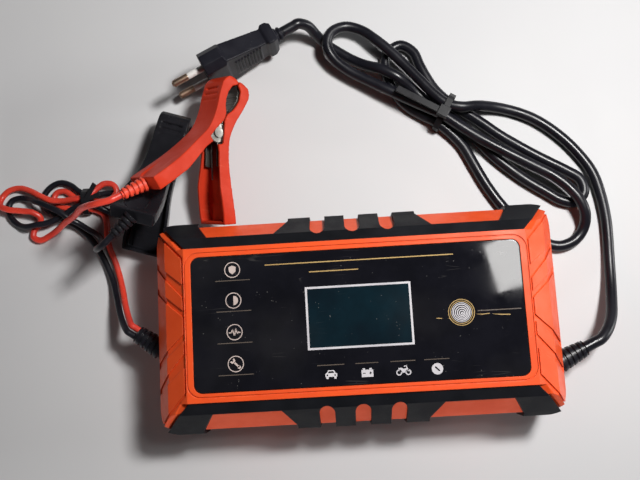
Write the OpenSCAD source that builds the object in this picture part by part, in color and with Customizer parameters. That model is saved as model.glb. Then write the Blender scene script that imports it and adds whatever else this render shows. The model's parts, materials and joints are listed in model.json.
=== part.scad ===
// Car battery charger: a flat pulse charger in a bumper-edged case, with its mains lead folded
// into a tied hank and two battery leads that end in spring clamps.
// Frame: the origin is under the middle of the case, on the table. +X runs along the case
// toward the mains lead, +Y points away from the front edge and +Z is up.

/* [Case] */
// Length over the two end faces
case_l = 205; // [202:1:212]
// Width over the long walls, without the bumpers
case_w = 103.2; // [102:0.2:108]
// Height of the display face above the table
case_h = 54; // [53:0.5:58]
// Radius of the case's upright corners
corner_r = 11; // [8:0.5:13]
// Height of the parting line between the two case shells
parting_z = 27; // [25:0.5:29]
// Thickness of the case walls
wall = 2.2; // [1.8:0.1:2.8]
// Height of the case's underside above the table
lift = 1.5; // [1:0.1:2.5]
// How far the underside is set in from the walls
chamfer_in = 13.6; // [11:0.2:14]
// Height where the lower chamfer meets the wall
chamfer_top = 18; // [16:0.5:20]
// Length of the level display face
face_l = 168; // [166:1:172]
// Width of the level display face
face_w = 74.8; // [73:0.2:77]
// Depth of the lined step beside the display face
rail_step = 2.7; // [2:0.1:3.2]
// Depth of the grooves between the end plates
groove_d = 0.7; // [0.4:0.1:1]

/* [Display panel] */
// Length of the glass
glass_l = 160.6; // [158:0.2:162]
// Width of the glass
glass_w = 65.4; // [64:0.2:67]
// Thickness of the glass
glass_t = 2; // [1.5:0.1:2.4]
// Corner radius of the glass
glass_r = 4; // [2:0.5:6]
// Length of the display's lit field
lcd_l = 51.4; // [46:0.2:56]
// Width of the display's lit field
lcd_w = 30.4; // [26:0.2:34]
// Where the touch key sits along the panel
key_x = 50; // [46:1:56]
// Radius of the touch key's pad
key_r = 7; // [5:0.5:8]

/* [Bumpers] */
// Thickness of the bumper skin
bumper_t = 1.9; // [1.4:0.1:2.4]
// Height of the lower bumper rail's top edge
low_rail_z = 12.5; // [11:0.5:14]
// Width of the small windows in the bumper
slot_w = 7.6; // [6:0.2:9]
// Distance between the small windows
slot_pitch = 17.6; // [16:0.2:19]
// Length of the big window along the bumper's rail
window_l = 33.6; // [28:0.2:36]
// Middle of the big window
window_x = 56.2; // [54:0.2:58]
// How far each end of the big window slants outward
window_slant = 6.6; // [4:0.2:7]

/* [Cooling fan] */
// Side of the square fan frame
fan_side = 40; // [35:1:40]
// Depth of the fan
fan_t = 10; // [10:1:12]
// Number of blades
blades = 7; // [5:1:9]

/* [Mains plug] */
// Height of the plug's front block
plug_h = 35.3; // [33:0.1:36]
// Thickness of the plug's front block
plug_t = 13.7; // [12:0.1:15]
// Length of the plug's body
plug_l = 44; // [40:1:48]
// Radius of the pins
pin_r = 2; // [1.9:0.05:2.1]
// Length of the pins outside the plug
pin_l = 19; // [18:0.5:19.5]
// Distance between the pins
pin_gap = 18.6; // [17:0.1:19.2]

/* [Cords] */
// Diameter of the mains cord
mains_d = 6; // [5.6:0.1:6.1]
// Diameter of each battery lead
lead_d = 3.4; // [3:0.1:3.5]

/* [Battery clamps] */
// Distance from the pivot to the jaw tip
jaw_l = 31; // [30:1:34]
// Distance from the pivot to the handle's end
handle_l = 49; // [47:1:51]
// Angle of each handle from the clamp's middle line
handle_turn = 28; // [26:1:30]
// Width of the handle's end
handle_w = 23; // [21:0.5:24]
// Width of the clamp at the jaws
jaw_w = 17; // [16:0.2:18]
// Wall thickness of the handle covers
cover_t = 1.7; // [1.4:0.1:1.9]
// Radius of the rivet
rivet_r = 1.5; // [1.3:0.1:1.8]

/* [Hidden] */

// Colours
case_orange = [0.93, 0.36, 0.13];
rubber_black = [0.09, 0.09, 0.1];
clamp_red = [0.85, 0.2, 0.13];
steel = [0.76, 0.75, 0.72];
board_green = [0.1, 0.38, 0.22];

// Clearances
seat_gap = 0.05;
running_gap = 0.06;
part_gap = 0.3;
fine = 64;
reach = 40;

// ---------- shared functions ----------

// Outward normal of the edge from p to q, on an outline that runs counter-clockwise
function edge_normal(p, q) = [q[1] - p[1], p[0] - q[0]] / norm(q - p);

// The outline with every edge moved inward by t
function inset(pts, t) = [
    for (i = [0 : len(pts) - 1])
        let (
            before = pts[(i + len(pts) - 1) % len(pts)],
            here = pts[i],
            after = pts[(i + 1) % len(pts)],
            n1 = edge_normal(before, here),
            n2 = edge_normal(here, after)
        )
        here - t * (n1 + n2) / (1 + n1 * n2)
];

// A half outline and its mirror image, joined into one outline
function mirrored(half) = concat(half, [for (i = [len(half) - 1 : -1 : 0]) [-half[i][0], half[i][1]]]);

// A smooth curve through the route's points, with n steps from each point to the next
function smooth(route, n) = let (
    last = len(route) - 1,
    ext = concat([2 * route[0] - route[1]], route, [2 * route[last] - route[last - 1]])
) concat(
    [
        for (i = [1 : last], k = [0 : n - 1])
            let (t = k / n, a = ext[i - 1], b = ext[i], c = ext[i + 1], d = ext[i + 2])
            0.5 * (2 * b + (c - a) * t + (2 * a - 5 * b + 4 * c - d) * t * t
                + (3 * b - a - 3 * c + d) * t * t * t)
    ],
    [route[last]]
);

function unit(v) = v / norm(v);
function sum(list) = [for (i = 0, s = 0; i < len(list); s = s + list[i], i = i + 1) s + list[i]];

// Length of a polyline up to each of its points
function lengths(line) = concat(
    [0], sum([for (i = [1 : len(line) - 1]) norm(line[i] - line[i - 1])])
);

// The same polyline with points the step apart along it
function spaced(line, step) = let (
    along = lengths(line),
    total = along[len(along) - 1],
    count = ceil(total / step)
) [
    for (k = 0, j = 0; k <= count; k = k + 1,
        j = k > count ? j : next_piece(along, j, min(total, k * total / count)))
        let (s = k * total / count, a = along[j], b = along[j + 1])
        line[j] + (line[j + 1] - line[j]) * (b > a ? (s - a) / (b - a) : 0)
];
function next_piece(along, j, s) =
    j < len(along) - 2 && along[j + 1] < s ? next_piece(along, j + 1, s) : j;

// Direction of a polyline at each point
function directions(line) = let (last = len(line) - 1) [
    for (i = [0 : last]) unit(line[min(i + 1, last)] - line[max(i - 1, 0)])
];

// A side direction at each point, carried along the line without twisting
function sides_along(dirs, first) = [
    for (i = 0, v = unit(first - (first * dirs[0]) * dirs[0]); i < len(dirs); i = i + 1,
        v = i < len(dirs) ? unit(v - (v * dirs[i]) * dirs[i]) : v) v
];

// The least distance between stretches of a line that are more than apart from each other
function least_gap(line, apart, step) = min([
    for (i = [0 : len(line) - 1], j = [i + ceil(apart / step) : 1 : len(line) - 1])
        norm(line[i] - line[j])
]);

// ---------- shared shapes ----------

module rounded_rect(l, w, r) {
    square([l - 2 * r, w], center = true);
    square([l, w - 2 * r], center = true);
    for (x = [-1, 1], y = [-1, 1])
        translate([x * (l / 2 - r), y * (w / 2 - r)])
            circle(r, $fn = fine);
}

// A closed tube with the given section, swept along a line of points
module swept(line, section, first) {
    dirs = directions(line);
    ups = sides_along(dirs, first);
    count = len(section);
    points = [
        for (i = [0 : len(line) - 1], p = section)
            line[i] + ups[i] * p[0] + cross(dirs[i], ups[i]) * p[1]
    ];
    rings = len(line) - 1;
    faces = concat(
        [for (i = [0 : rings - 1], j = [0 : count - 1])
            [i * count + j, (i + 1) * count + j, i * count + (j + 1) % count]],
        [for (i = [0 : rings - 1], j = [0 : count - 1])
            [i * count + (j + 1) % count, (i + 1) * count + j, (i + 1) * count + (j + 1) % count]],
        [[for (j = [0 : count - 1]) j]],
        [[for (j = [count - 1 : -1 : 0]) rings * count + j]]
    );
    polyhedron(points = points, faces = faces, convexity = 10);
}

module tube(line, d, sides, first = [0, 0, 1]) {
    // The flats are set out so that the section has the round wire's area
    r = d / 2 * sqrt(2 * PI / (sides * sin(360 / sides)));
    swept(line, [
        for (j = [0 : sides - 1])
            let (a = 360 * (j + 0.5) / sides)
            r * [cos(a), sin(a)]
    ], first);
}

// A slot with round ends
module stadium(l, w, h) {
    for (x = [-1, 1])
        translate([x * (l - w) / 2, 0, 0])
            cylinder(r = w / 2, h = h, $fn = fine);
    translate([-(l - w) / 2, -w / 2, 0])
        cube([l - w, w, h]);
}

// ---------- case ----------

half_l = case_l / 2;
half_w = case_w / 2;
// Half outlines of the case: looking along its length, then looking along its width
side_half = [
    [0, lift],
    [half_w - chamfer_in, lift],
    [half_w, chamfer_top],
    [half_w, case_h - 22.5],
    [face_w / 2 + 4.8, case_h - rail_step - 2.6],
    [face_w / 2, case_h - rail_step],
    [face_w / 2, case_h],
    [0, case_h]
];
end_half = [
    [0, lift],
    [half_l - chamfer_in, lift],
    [half_l, chamfer_top],
    [half_l, case_h - 24],
    [half_l - 7.5, case_h - 8],
    [face_l / 2, case_h],
    [0, case_h]
];
// The bumper's own outline over the long walls
bumper_half = [
    [0, lift + 4],
    [half_w - chamfer_in + 4.5, lift + 3.2],
    [half_w + bumper_t, chamfer_top - 0.8],
    [half_w + bumper_t, case_h - 21.8],
    [face_w / 2 + 5.6, case_h - 3.7],
    [face_w / 2 + seat_gap, case_h - 0.8],
    [0, case_h - 0.8]
];

function without_ends(half) = [for (i = [1 : len(half) - 2]) half[i]];
function full_outline(half) = mirrored(without_ends(half));

// The case's outer form, with every face moved inward by t
module case_form(t, side = side_half) {
    intersection() {
        rotate([90, 0, 90])
            linear_extrude(case_l + reach, center = true)
                polygon(inset(full_outline(side), t));
        rotate([90, 0, 0])
            linear_extrude(case_w + reach, center = true)
                polygon(inset(full_outline(end_half), t));
        linear_extrude(case_h + reach)
            rounded_rect(case_l - 2 * t, case_w - 2 * t, corner_r - t);
    }
}

module slab(z0, z1) {
    translate([-case_l, -case_w, z0])
        cube([2 * case_l, 2 * case_w, z1 - z0]);
}

// Raised plates on the sloping ends, seen from above: each runs outward at the same slant
plate_x = face_l / 2 + 1.2;
plate_slant = 0.79;
plate_edges = [[7.4, 13.6], [20.2, 32.5]];
plate_run = half_l + 2 - plate_x;

module end_plates() {
    lead = plate_run * plate_slant;
    for (end = [0, 1])
        mirror([end, 0, 0]) {
            translate([plate_x, 0, 0])
                linear_extrude(case_h + 1)
                    polygon([[0, -4.2], [plate_run, -4.2 - lead], [plate_run, 4.2 + lead], [0, 4.2]]);
            for (side = [0, 1], edge = plate_edges)
                mirror([0, side, 0])
                    translate([plate_x, 0, 0])
                        linear_extrude(case_h + 1)
                            polygon([
                                [0, edge[0]],
                                [plate_run, edge[0] + lead],
                                [plate_run, edge[1] + plate_run],
                                [0, edge[1]]
                            ]);
        }
}

// The thin material between the plates that is cut away
module plate_grooves() {
    difference() {
        for (end = [0, 1])
            mirror([end, 0, 0])
                translate([plate_x - 0.8, -case_w, parting_z + 3])
                    cube([reach, 2 * case_w, reach]);
        end_plates();
        mitred_arms();
        case_form(groove_d);
    }
}

// The smooth arms beside the bumpers' mitred corners
mitre_x = 83.5 - 37.5;
arm_w = 5;
module mitred_arms() {
    for (x = [0, 1], y = [0, 1])
        mirror([x, 0, 0])
            mirror([0, y, 0])
                linear_extrude(case_h + 1)
                    polygon([
                        [mitre_x + 30, 30 - arm_w],
                        [mitre_x + 80, 80 - arm_w],
                        [mitre_x + 80, 90],
                        [mitre_x + 30, 90]
                    ]);
}

roof_z = case_h - glass_t - 2.4;
floor_z = lift + wall;
boss_x = 79;
boss_y = 30.5;
boss_r = 4;
case_screw_r = 1.45;

module four_places(x, y) {
    for (sx = [-1, 1], sy = [-1, 1])
        translate([sx * x, sy * y, 0])
            children();
}

lcd_margin = 2.4;
gland_z = 21.2;
ac_gland_y = -28;
dc_gland_y = -10;
gland_neck_r = 4.6;
vent_count = 7;
vent_pitch = 4.6;
fan_y = 2;
fan_x = half_l - wall - 14 - fan_t;

module upper_shell() {
    color(case_orange)
        difference() {
            union() {
                difference() {
                    case_form(0);
                    slab(-1, parting_z);
                    plate_grooves();
                    difference() {
                        case_form(wall);
                        slab(roof_z, case_h + 1);
                    }
                }
                four_places(boss_x, boss_y)
                    translate([0, 0, parting_z])
                        cylinder(r = boss_r, h = roof_z - parting_z + 0.2, $fn = fine);
                four_places(display_post_x, display_post_y)
                    translate([0, 0, display_board_z + board_t])
                        cylinder(r = 2.6, h = roof_z - display_board_z - board_t + 0.2, $fn = fine);
            }
            // Pocket that the glass lies in
            translate([0, 0, case_h - glass_t - 0.2])
                linear_extrude(reach)
                    rounded_rect(glass_l + 2 * part_gap, glass_w + 2 * part_gap, glass_r + part_gap);
            // Thin line round the rim
            translate([0, 0, case_h - 0.5])
                linear_extrude(reach)
                    difference() {
                        rounded_rect(glass_l + 7.4, glass_w + 5, glass_r + 3);
                        rounded_rect(glass_l + 6.2, glass_w + 3.8, glass_r + 2.4);
                    }
            // Windows under the glass for the display and the touch key
            translate([0, 0, roof_z / 2 + case_h / 2])
                cube([lcd_l + 2 * lcd_margin + 1, lcd_w + 2 * lcd_margin + 1, reach], center = true);
            translate([key_x, 0, roof_z - 1])
                cylinder(r = key_r + 1, h = reach, $fn = fine);
            // Pilot holes for the case screws and the display board's screws
            four_places(boss_x, boss_y)
                translate([0, 0, parting_z - 1])
                    cylinder(r = case_screw_r + running_gap, h = 16, $fn = fine);
            four_places(display_post_x, display_post_y)
                translate([0, 0, display_board_z])
                    cylinder(r = board_screw_r + running_gap, h = 6, $fn = fine);
        }
}

// Hole through an end wall, with room for the collar inside it
module gland_hole() {
    translate([0, 0, -1])
        cylinder(r = gland_neck_r + running_gap, h = 10, $fn = fine);
    translate([0, 0, -6])
        cylinder(r = gland_neck_r + 1.3, h = 6, $fn = fine);
}

module lower_shell() {
    color(rubber_black)
        difference() {
            union() {
                difference() {
                    case_form(0);
                    slab(parting_z - seat_gap, case_h + 1);
                    difference() {
                        case_form(wall);
                        slab(-1, floor_z);
                    }
                }
                four_places(boss_x, boss_y)
                    translate([0, 0, lift + 0.5])
                        cylinder(r = boss_r + 0.6, h = parting_z - lift - 0.5 - seat_gap, $fn = fine);
                four_places(board_post_x, board_post_y)
                    translate([0, 0, lift + 0.5])
                        cylinder(r = 3, h = main_board_z - lift - 0.5, $fn = fine);
                // Rails that the fan's frame slides down between
                for (s = [-1, 1])
                    translate([fan_x - 2.2, fan_y + s * (fan_side / 2 - 10) - 1.5, floor_z - 0.2])
                        cube([2, 3, 9]);
            }
            four_places(boss_x, boss_y) {
                translate([0, 0, -1])
                    cylinder(r = case_screw_r + 0.15, h = parting_z + 2, $fn = fine);
                translate([0, 0, -1])
                    cylinder(r = screw_head_r + 0.25, h = screw_seat_z + 1, $fn = fine);
            }
            four_places(board_post_x, board_post_y)
                translate([0, 0, main_board_z - 6])
                    cylinder(r = board_screw_r + running_gap, h = 10, $fn = fine);
            four_places(foot_x, foot_y)
                translate([0, 0, -1])
                    cylinder(r = foot_r + 0.15, h = foot_seat_z + 1, $fn = fine);
            // Holes for the two glands
            translate([half_l - wall, ac_gland_y, gland_z])
                rotate([0, 90, 0])
                    gland_hole();
            translate([-half_l + wall, dc_gland_y, gland_z])
                rotate([0, -90, 0])
                    gland_hole();
            // Air slots in front of the fan and at the far end
            for (end = [-1, 1], i = [0 : vent_count - 1])
                translate([end * half_l, fan_y + 3 * end + (i - (vent_count - 1) / 2) * vent_pitch, 0])
                    translate([-10, -1.1, 13])
                        cube([20, 2.2, 11]);
        }
}

// Plan of a bumper: its rail's inner line and the mitred ends
module bumper_plan() {
    top = half_w + bumper_t + 1;
    polygon([
        [-(mitre_x + face_w / 2 + seat_gap), face_w / 2 + seat_gap],
        [mitre_x + face_w / 2 + seat_gap, face_w / 2 + seat_gap],
        [mitre_x + top, top],
        [-(mitre_x + top), top]
    ]);
}

rail_y = face_w / 2 + 5.8;
module bumper_windows() {
    depth = half_w + bumper_t + 2 - rail_y;
    tall = case_h - low_rail_z;
    for (x = [-1, 0, 1])
        translate([x * slot_pitch, rail_y + slot_w / 2 - 1.2, low_rail_z]) {
            cylinder(r = slot_w / 2, h = tall, $fn = fine);
            translate([-slot_w / 2, 0, 0])
                cube([slot_w, depth, tall]);
        }
    for (s = [0, 1])
        mirror([s, 0, 0])
            translate([window_x, rail_y, low_rail_z])
                linear_extrude(tall)
                    polygon([
                        [-window_l / 2, 0],
                        [window_l / 2, 0],
                        [window_l / 2 + window_slant, half_w - rail_y],
                        [window_l / 2 + window_slant, depth],
                        [-window_l / 2 - window_slant, depth],
                        [-window_l / 2 - window_slant, half_w - rail_y]
                    ]);
}

module bumper() {
    color(rubber_black)
        difference() {
            intersection() {
                rotate([90, 0, 90])
                    linear_extrude(case_l + reach, center = true)
                        polygon(full_outline(bumper_half));
                rotate([90, 0, 0])
                    linear_extrude(case_w + reach, center = true)
                        polygon(inset(full_outline(end_half), -bumper_t));
                linear_extrude(case_h)
                    rounded_rect(case_l + 2 * bumper_t, case_w + 2 * bumper_t, corner_r + bumper_t);
                linear_extrude(case_h)
                    bumper_plan();
            }
            case_form(-seat_gap);
            bumper_windows();
        }
}

module rear_bumper() {
    bumper();
}

module front_bumper() {
    mirror([0, 1, 0])
        bumper();
}

screw_head_r = 2.8;
screw_seat_z = lift + 5;
module case_screws() {
    color(steel)
        four_places(boss_x, boss_y)
            difference() {
                union() {
                    translate([0, 0, screw_seat_z - 2.2])
                        cylinder(r = screw_head_r, h = 2.2 - seat_gap, $fn = fine);
                    translate([0, 0, screw_seat_z - 0.5])
                        cylinder(r = case_screw_r, h = parting_z - screw_seat_z + 12, $fn = fine);
                }
                translate([0, 0, screw_seat_z - 2.7])
                    cylinder(r = 1.4, h = 1.7, $fn = 6);
            }
}

foot_x = 62;
foot_y = 30.5;
foot_r = 6;
foot_seat_z = lift + 1;
module feet() {
    color([0.16, 0.16, 0.17])
        four_places(foot_x, foot_y)
            cylinder(r = foot_r, h = foot_seat_z - seat_gap, $fn = fine);
}

// ---------- display panel ----------

module panel_glass() {
    color([0.03, 0.03, 0.04])
        translate([0, 0, case_h - glass_t - 0.2 + seat_gap])
            linear_extrude(glass_t)
                rounded_rect(glass_l, glass_w, glass_r);
}

board_t = 1.6;
lcd_t = 5.6;
glass_under = case_h - glass_t - 0.2 + seat_gap;
display_board_z = glass_under - seat_gap - lcd_t - seat_gap - board_t;
module lcd_module() {
    color([0.2, 0.42, 0.46])
        translate([0, 0, glass_under - seat_gap - lcd_t / 2])
            cube([lcd_l + 2 * lcd_margin, lcd_w + 2 * lcd_margin, lcd_t], center = true);
}

module touch_pad() {
    color([0.8, 0.66, 0.3])
        translate([key_x, 0, display_board_z + board_t + seat_gap]) {
            cylinder(r = 2.6, h = lcd_t, $fn = fine);
            translate([0, 0, lcd_t - 1])
                cylinder(r = key_r, h = 1, $fn = fine);
        }
}

display_board_l = 138;
display_board_w = 56;
display_post_x = 62;
display_post_y = 22;
board_screw_r = 1.2;
module display_board() {
    color(board_green)
        translate([0, 0, display_board_z])
            difference() {
                linear_extrude(board_t - seat_gap)
                    rounded_rect(display_board_l, display_board_w, 2);
                four_places(display_post_x, display_post_y)
                    translate([0, 0, -1])
                        cylinder(r = board_screw_r + 0.2, h = 4, $fn = fine);
            }
}

// ---------- inner electronics ----------

main_board_z = floor_z + 5.3;
board_top = main_board_z + board_t;
// Room between the two boards, which the tall parts keep out of the top of
room_h = display_board_z - board_top;
main_board_l = 125;
main_board_w = 66;
main_board_x = -9.5;
board_post_x = 44;
board_post_y = 27;
module main_board() {
    color(board_green)
        translate([0, 0, main_board_z + seat_gap])
            difference() {
                linear_extrude(board_t - 2 * seat_gap)
                    translate([main_board_x, 0])
                        rounded_rect(main_board_l, main_board_w, 2);
                four_places(board_post_x, board_post_y)
                    translate([0, 0, -1])
                        cylinder(r = board_screw_r + 0.2, h = 4, $fn = fine);
            }
}

module board_screw() {
    cylinder(r = 2.2, h = 1.6, $fn = fine);
    translate([0, 0, -4.6])
        cylinder(r = board_screw_r, h = 5, $fn = fine);
}

module board_screws() {
    color(steel) {
        four_places(board_post_x, board_post_y)
            translate([0, 0, board_top])
                board_screw();
        four_places(display_post_x, display_post_y)
            translate([0, 0, display_board_z - seat_gap])
                mirror([0, 0, 1])
                    board_screw();
    }
}

core_l = 34;
core_w = 13;
core_h = room_h - 5;
leg_l = 11;
yoke = 5;
core_x = -8;
module transformer_core() {
    color([0.28, 0.28, 0.3])
        translate([core_x, 4, board_top])
            difference() {
                translate([-core_l / 2, -core_w / 2, 0])
                    cube([core_l, core_w, core_h]);
                for (s = [-1, 1])
                    translate([s * (core_l / 4 + leg_l / 4 - yoke / 2), 0, core_h / 2])
                        cube([core_l / 2 - leg_l / 2 - yoke, core_w + 2, core_h - 2 * yoke], center = true);
            }
}

module transformer_coil() {
    slack = 0.2;
    window = core_l / 2 - leg_l / 2 - yoke;
    color([0.82, 0.64, 0.2])
        translate([core_x, 4, board_top + core_h / 2])
            difference() {
                cube([
                    leg_l + 2 * window - 2 * slack,
                    core_w + 2 * window,
                    core_h - 2 * yoke - 2 * slack
                ], center = true);
                cube([leg_l + 2 * slack, core_w + 2 * slack, core_h], center = true);
            }
}

module capacitor(r, h) {
    difference() {
        cylinder(r = r, h = h, $fn = fine);
        translate([0, 0, h - 0.6])
            for (turn = [0, 90])
                rotate(turn)
                    cube([1.4 * r, 0.6, 2], center = true);
        rotate_extrude($fn = fine)
            translate([r + 0.5, h - 4])
                circle(1, $fn = 24);
    }
}

bulk_can_r = 9;
bulk_can_at = [36, 8];
module bulk_capacitor() {
    color([0.12, 0.14, 0.22])
        translate([bulk_can_at[0], bulk_can_at[1], board_top])
            capacitor(bulk_can_r, room_h - 4);
}

output_can_r = 5;
output_can_at = [-47, -17];
module output_capacitors() {
    color([0.16, 0.3, 0.24])
        for (i = [0 : 2])
            translate([output_can_at[0], output_can_at[1] + i * (2 * output_can_r + 2), board_top])
                capacitor(output_can_r, room_h - 14);
}

fin_count = 6;
fin_t = 1.6;
sink_l = 64;
sink_t = 2.5;
sink_h = room_h - 8;
sink_at = [-38, 27.5];
module heatsink() {
    color([0.7, 0.71, 0.73])
        translate([sink_at[0], sink_at[1], board_top]) {
            cube([sink_l, sink_t, sink_h]);
            for (i = [0 : fin_count - 1])
                translate([i * (sink_l - fin_t) / (fin_count - 1), sink_t - 0.5, 0])
                    cube([fin_t, 3.4, sink_h]);
        }
}

transistor_t = 4.4;
module power_transistors() {
    color([0.1, 0.1, 0.11])
        for (x = [-30, -12])
            translate([x, sink_at[1] - seat_gap - transistor_t, board_top]) {
                translate([0, 0, 4])
                    cube([10, transistor_t, 15.5]);
                for (i = [0 : 2])
                    translate([1.6 + 2.9 * i, 1.8, 0])
                        cube([0.9, 0.6, 5]);
            }
}

module fuse() {
    color([0.85, 0.85, 0.82])
        translate([17, -24, board_top + 3.4]) {
            rotate([0, 90, 0])
                cylinder(r = 2.6, h = 20, $fn = fine);
            for (x = [1.5, 14.5])
                translate([x, -2.2, -3.4])
                    cube([4, 4.4, 3]);
        }
}

module filter_choke() {
    color([0.75, 0.4, 0.2])
        translate([22, -10, board_top + 4])
            rotate_extrude($fn = fine)
                translate([7, 0])
                    circle(4, $fn = 32);
}

module terminal_blocks() {
    color([0.14, 0.42, 0.2])
        for (place = [[43, -15], [-69, -16]])
            translate([place[0], place[1], board_top])
                difference() {
                    cube([8, 15, 10]);
                    for (y = [4, 11])
                        translate([4, y, 4])
                            cylinder(r = 1.8, h = 10, $fn = fine);
                }
}

// ---------- cooling fan ----------

fan_z = floor_z + fan_side / 2 + part_gap;
fan_bore_r = fan_side / 2 - 1;
fan_screw_at = fan_side / 2 - 4;
fan_screw_r = 1.5;
module at_fan() {
    translate([fan_x, fan_y, fan_z])
        rotate([0, 90, 0])
            children();
}

module fan_frame() {
    color([0.13, 0.13, 0.14])
        at_fan()
            difference() {
                union() {
                    difference() {
                        linear_extrude(fan_t)
                            rounded_rect(fan_side, fan_side, 3);
                        translate([0, 0, -1])
                            cylinder(r = fan_bore_r, h = fan_t + 2, $fn = fine);
                    }
                    // Hub seat and the struts that carry it
                    cylinder(r = 8, h = 1.4, $fn = fine);
                    for (turn = [0 : 90 : 270])
                        rotate(turn + 20)
                            translate([0, -1, 0])
                                cube([fan_bore_r + 0.4, 2, 1.4]);
                    translate([0, 0, 1])
                        cylinder(r = 1.5, h = 5, $fn = fine);
                }
                for (x = [-1, 1], y = [-1, 1])
                    translate([x * fan_screw_at, y * fan_screw_at, -1])
                        cylinder(r = fan_screw_r + 0.15, h = fan_t + 2, $fn = fine);
            }
}

module fan_rotor() {
    tip_r = fan_bore_r - 0.8;
    color([0.2, 0.2, 0.22])
        at_fan()
            difference() {
                union() {
                    translate([0, 0, 1.8])
                        cylinder(r = 8.5, h = fan_t - 2.4, $fn = fine);
                    for (i = [0 : blades - 1])
                        rotate(i * 360 / blades)
                            translate([tip_r / 2 + 3.4, 0, 1.8 + (fan_t - 2.4) / 2])
                                rotate([38, 0, 0])
                                    cube([tip_r - 8, 1, fan_t - 2.6], center = true);
                }
                translate([0, 0, 0])
                    cylinder(r = 1.5 + running_gap, h = 7, $fn = fine);
                translate([0, 0, 1])
                    cylinder(r = 7, h = 1.2, $fn = fine);
            }
}

module fan_screws() {
    color(steel)
        at_fan()
            for (x = [-1, 1], y = [-1, 1])
                translate([x * fan_screw_at, y * fan_screw_at, 0]) {
                    translate([0, 0, -1.8])
                        cylinder(r = 2.7, h = 1.8 - seat_gap, $fn = fine);
                    translate([0, 0, -0.5])
                        cylinder(r = fan_screw_r, h = fan_t + 0.4, $fn = fine);
                }
}

// ---------- glands ----------

ac_turn = 25;
dc_turn = 35;
gland_l = 14.5;
ac_gland_end = [half_l + 1, ac_gland_y, gland_z] + gland_l * [cos(ac_turn), sin(ac_turn), 0];
dc_gland_end = [-half_l - 1, dc_gland_y, gland_z] + gland_l * [-cos(dc_turn), sin(dc_turn), 0];

// A ribbed strain relief along +X from its root, that tapers to end_r
module ribbed_relief(l, root_r, end_r, ribs) {
    pitch = l / ribs;
    rotate([0, 90, 0])
        rotate_extrude($fn = fine)
            polygon(concat(
                [[0, 0]],
                [for (i = [0 : ribs - 1], step = [0 : 3])
                    let (
                        at = (i + [0, 0.55, 0.6, 0.95][step]) * pitch,
                        r = root_r + (end_r - root_r) * at / l
                    )
                    [step < 2 ? r : r - 0.9, at]],
                [[end_r, l - 0.01], [end_r, l], [0, l]]
            ));
}

module gland(turn, relief_r, end_r) {
    // Neck through the wall, with a collar on each side of it
    rotate([0, 90, 0]) {
        translate([0, 0, -wall - 2.6])
            cylinder(r = gland_neck_r + 1.2, h = 2.5, $fn = fine);
        translate([0, 0, -wall - 0.5])
            cylinder(r = gland_neck_r, h = wall + 1, $fn = fine);
        translate([0, 0, seat_gap])
            cylinder(r = gland_neck_r + 1.4, h = 1.6, $fn = fine);
    }
    difference() {
        translate([1, 0, 0])
            rotate([0, 0, turn])
                ribbed_relief(gland_l, relief_r, end_r, 5);
        translate([seat_gap - 10, -10, -10])
            cube([10, 20, 20]);
    }
}

module ac_gland() {
    color(rubber_black)
        translate([half_l, ac_gland_y, gland_z])
            gland(ac_turn, 5.8, 4.3);
}

module dc_gland() {
    color(rubber_black)
        translate([-half_l, dc_gland_y, gland_z])
            mirror([1, 0, 0])
                gland(dc_turn, 5.8, 4.6);
}

// ---------- mains plug ----------

plug_at = [-36, 160.3, plug_h / 2 + 0.1];
plug_turn = 206.4;
plug_relief_l = 5;
module at_plug() {
    translate(plug_at)
        rotate([0, 0, plug_turn])
            children();
}

module plug_body() {
    h = plug_h / 2;
    t = plug_t / 2;
    color(rubber_black)
        at_plug() {
            difference() {
                intersection() {
                    // Broad side, then the narrow side, then the cut-off edges
                    rotate([90, 0, 0])
                        linear_extrude(plug_t + 4, center = true)
                            polygon([
                                [0, -8], [2.5, -9.5], [5.5, -9.5], [7, -8.5], [plug_l - 13, -h + 2.5],
                                [plug_l - 12, -h], [plug_l, -h], [plug_l, h], [plug_l - 12, h],
                                [plug_l - 13, h - 2.5], [7, 8.5], [5.5, 9.5], [2.5, 9.5], [0, 8]
                            ]);
                    linear_extrude(plug_h + 4, center = true)
                        polygon([
                            [0, -5], [2.5, -6.2], [5.5, -6.2], [7, -4.8], [plug_l - 13, -t + 1.2],
                            [plug_l - 12, -t], [plug_l, -t], [plug_l, t], [plug_l - 12, t],
                            [plug_l - 13, t - 1.2], [7, 4.8], [5.5, 6.2], [2.5, 6.2], [0, 5]
                        ]);
                    rotate([90, 0, 90])
                        linear_extrude(plug_l)
                            polygon([
                                [-3, -h], [3, -h], [t, -h + 4.2], [t, h - 4.2],
                                [3, h], [-3, h], [-t, h - 4.2], [-t, -h + 4.2]
                            ]);
                }
                // Finger grooves across the two broad sides
                for (side = [-1, 1], i = [0 : 6])
                    translate([9.5 + 3 * i, side * (t + 0.1), 0])
                        cube([1.1, 1.9, 22], center = true);
                // Holes that hold the pins
                for (s = [-1, 1])
                    translate([plug_l - 8, 0, s * pin_gap / 2])
                        rotate([0, 90, 0])
                            cylinder(r = pin_r, h = 10, $fn = fine);
            }
            mirror([1, 0, 0])
                ribbed_relief(plug_relief_l, 4.6, 3.6, 2);
        }
}

sleeve_l = 9.5;
sleeve_r = pin_r - 0.2;
core_r = 1.3;
module plug_pins() {
    color([0.78, 0.7, 0.55])
        at_plug()
            for (s = [-1, 1])
                translate([plug_l - 8, 0, s * pin_gap / 2])
                    rotate([0, 90, 0]) {
                        cylinder(r = pin_r, h = 8, $fn = fine);
                        cylinder(r = core_r, h = 8 + sleeve_l + 1, $fn = fine);
                        translate([0, 0, 8 + sleeve_l])
                            cylinder(r = pin_r, h = pin_l - sleeve_l - 1, $fn = fine);
                        translate([0, 0, 8 + pin_l - 1])
                            cylinder(r1 = pin_r, r2 = pin_r - 1, h = 1, $fn = fine);
                    }
}

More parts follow.
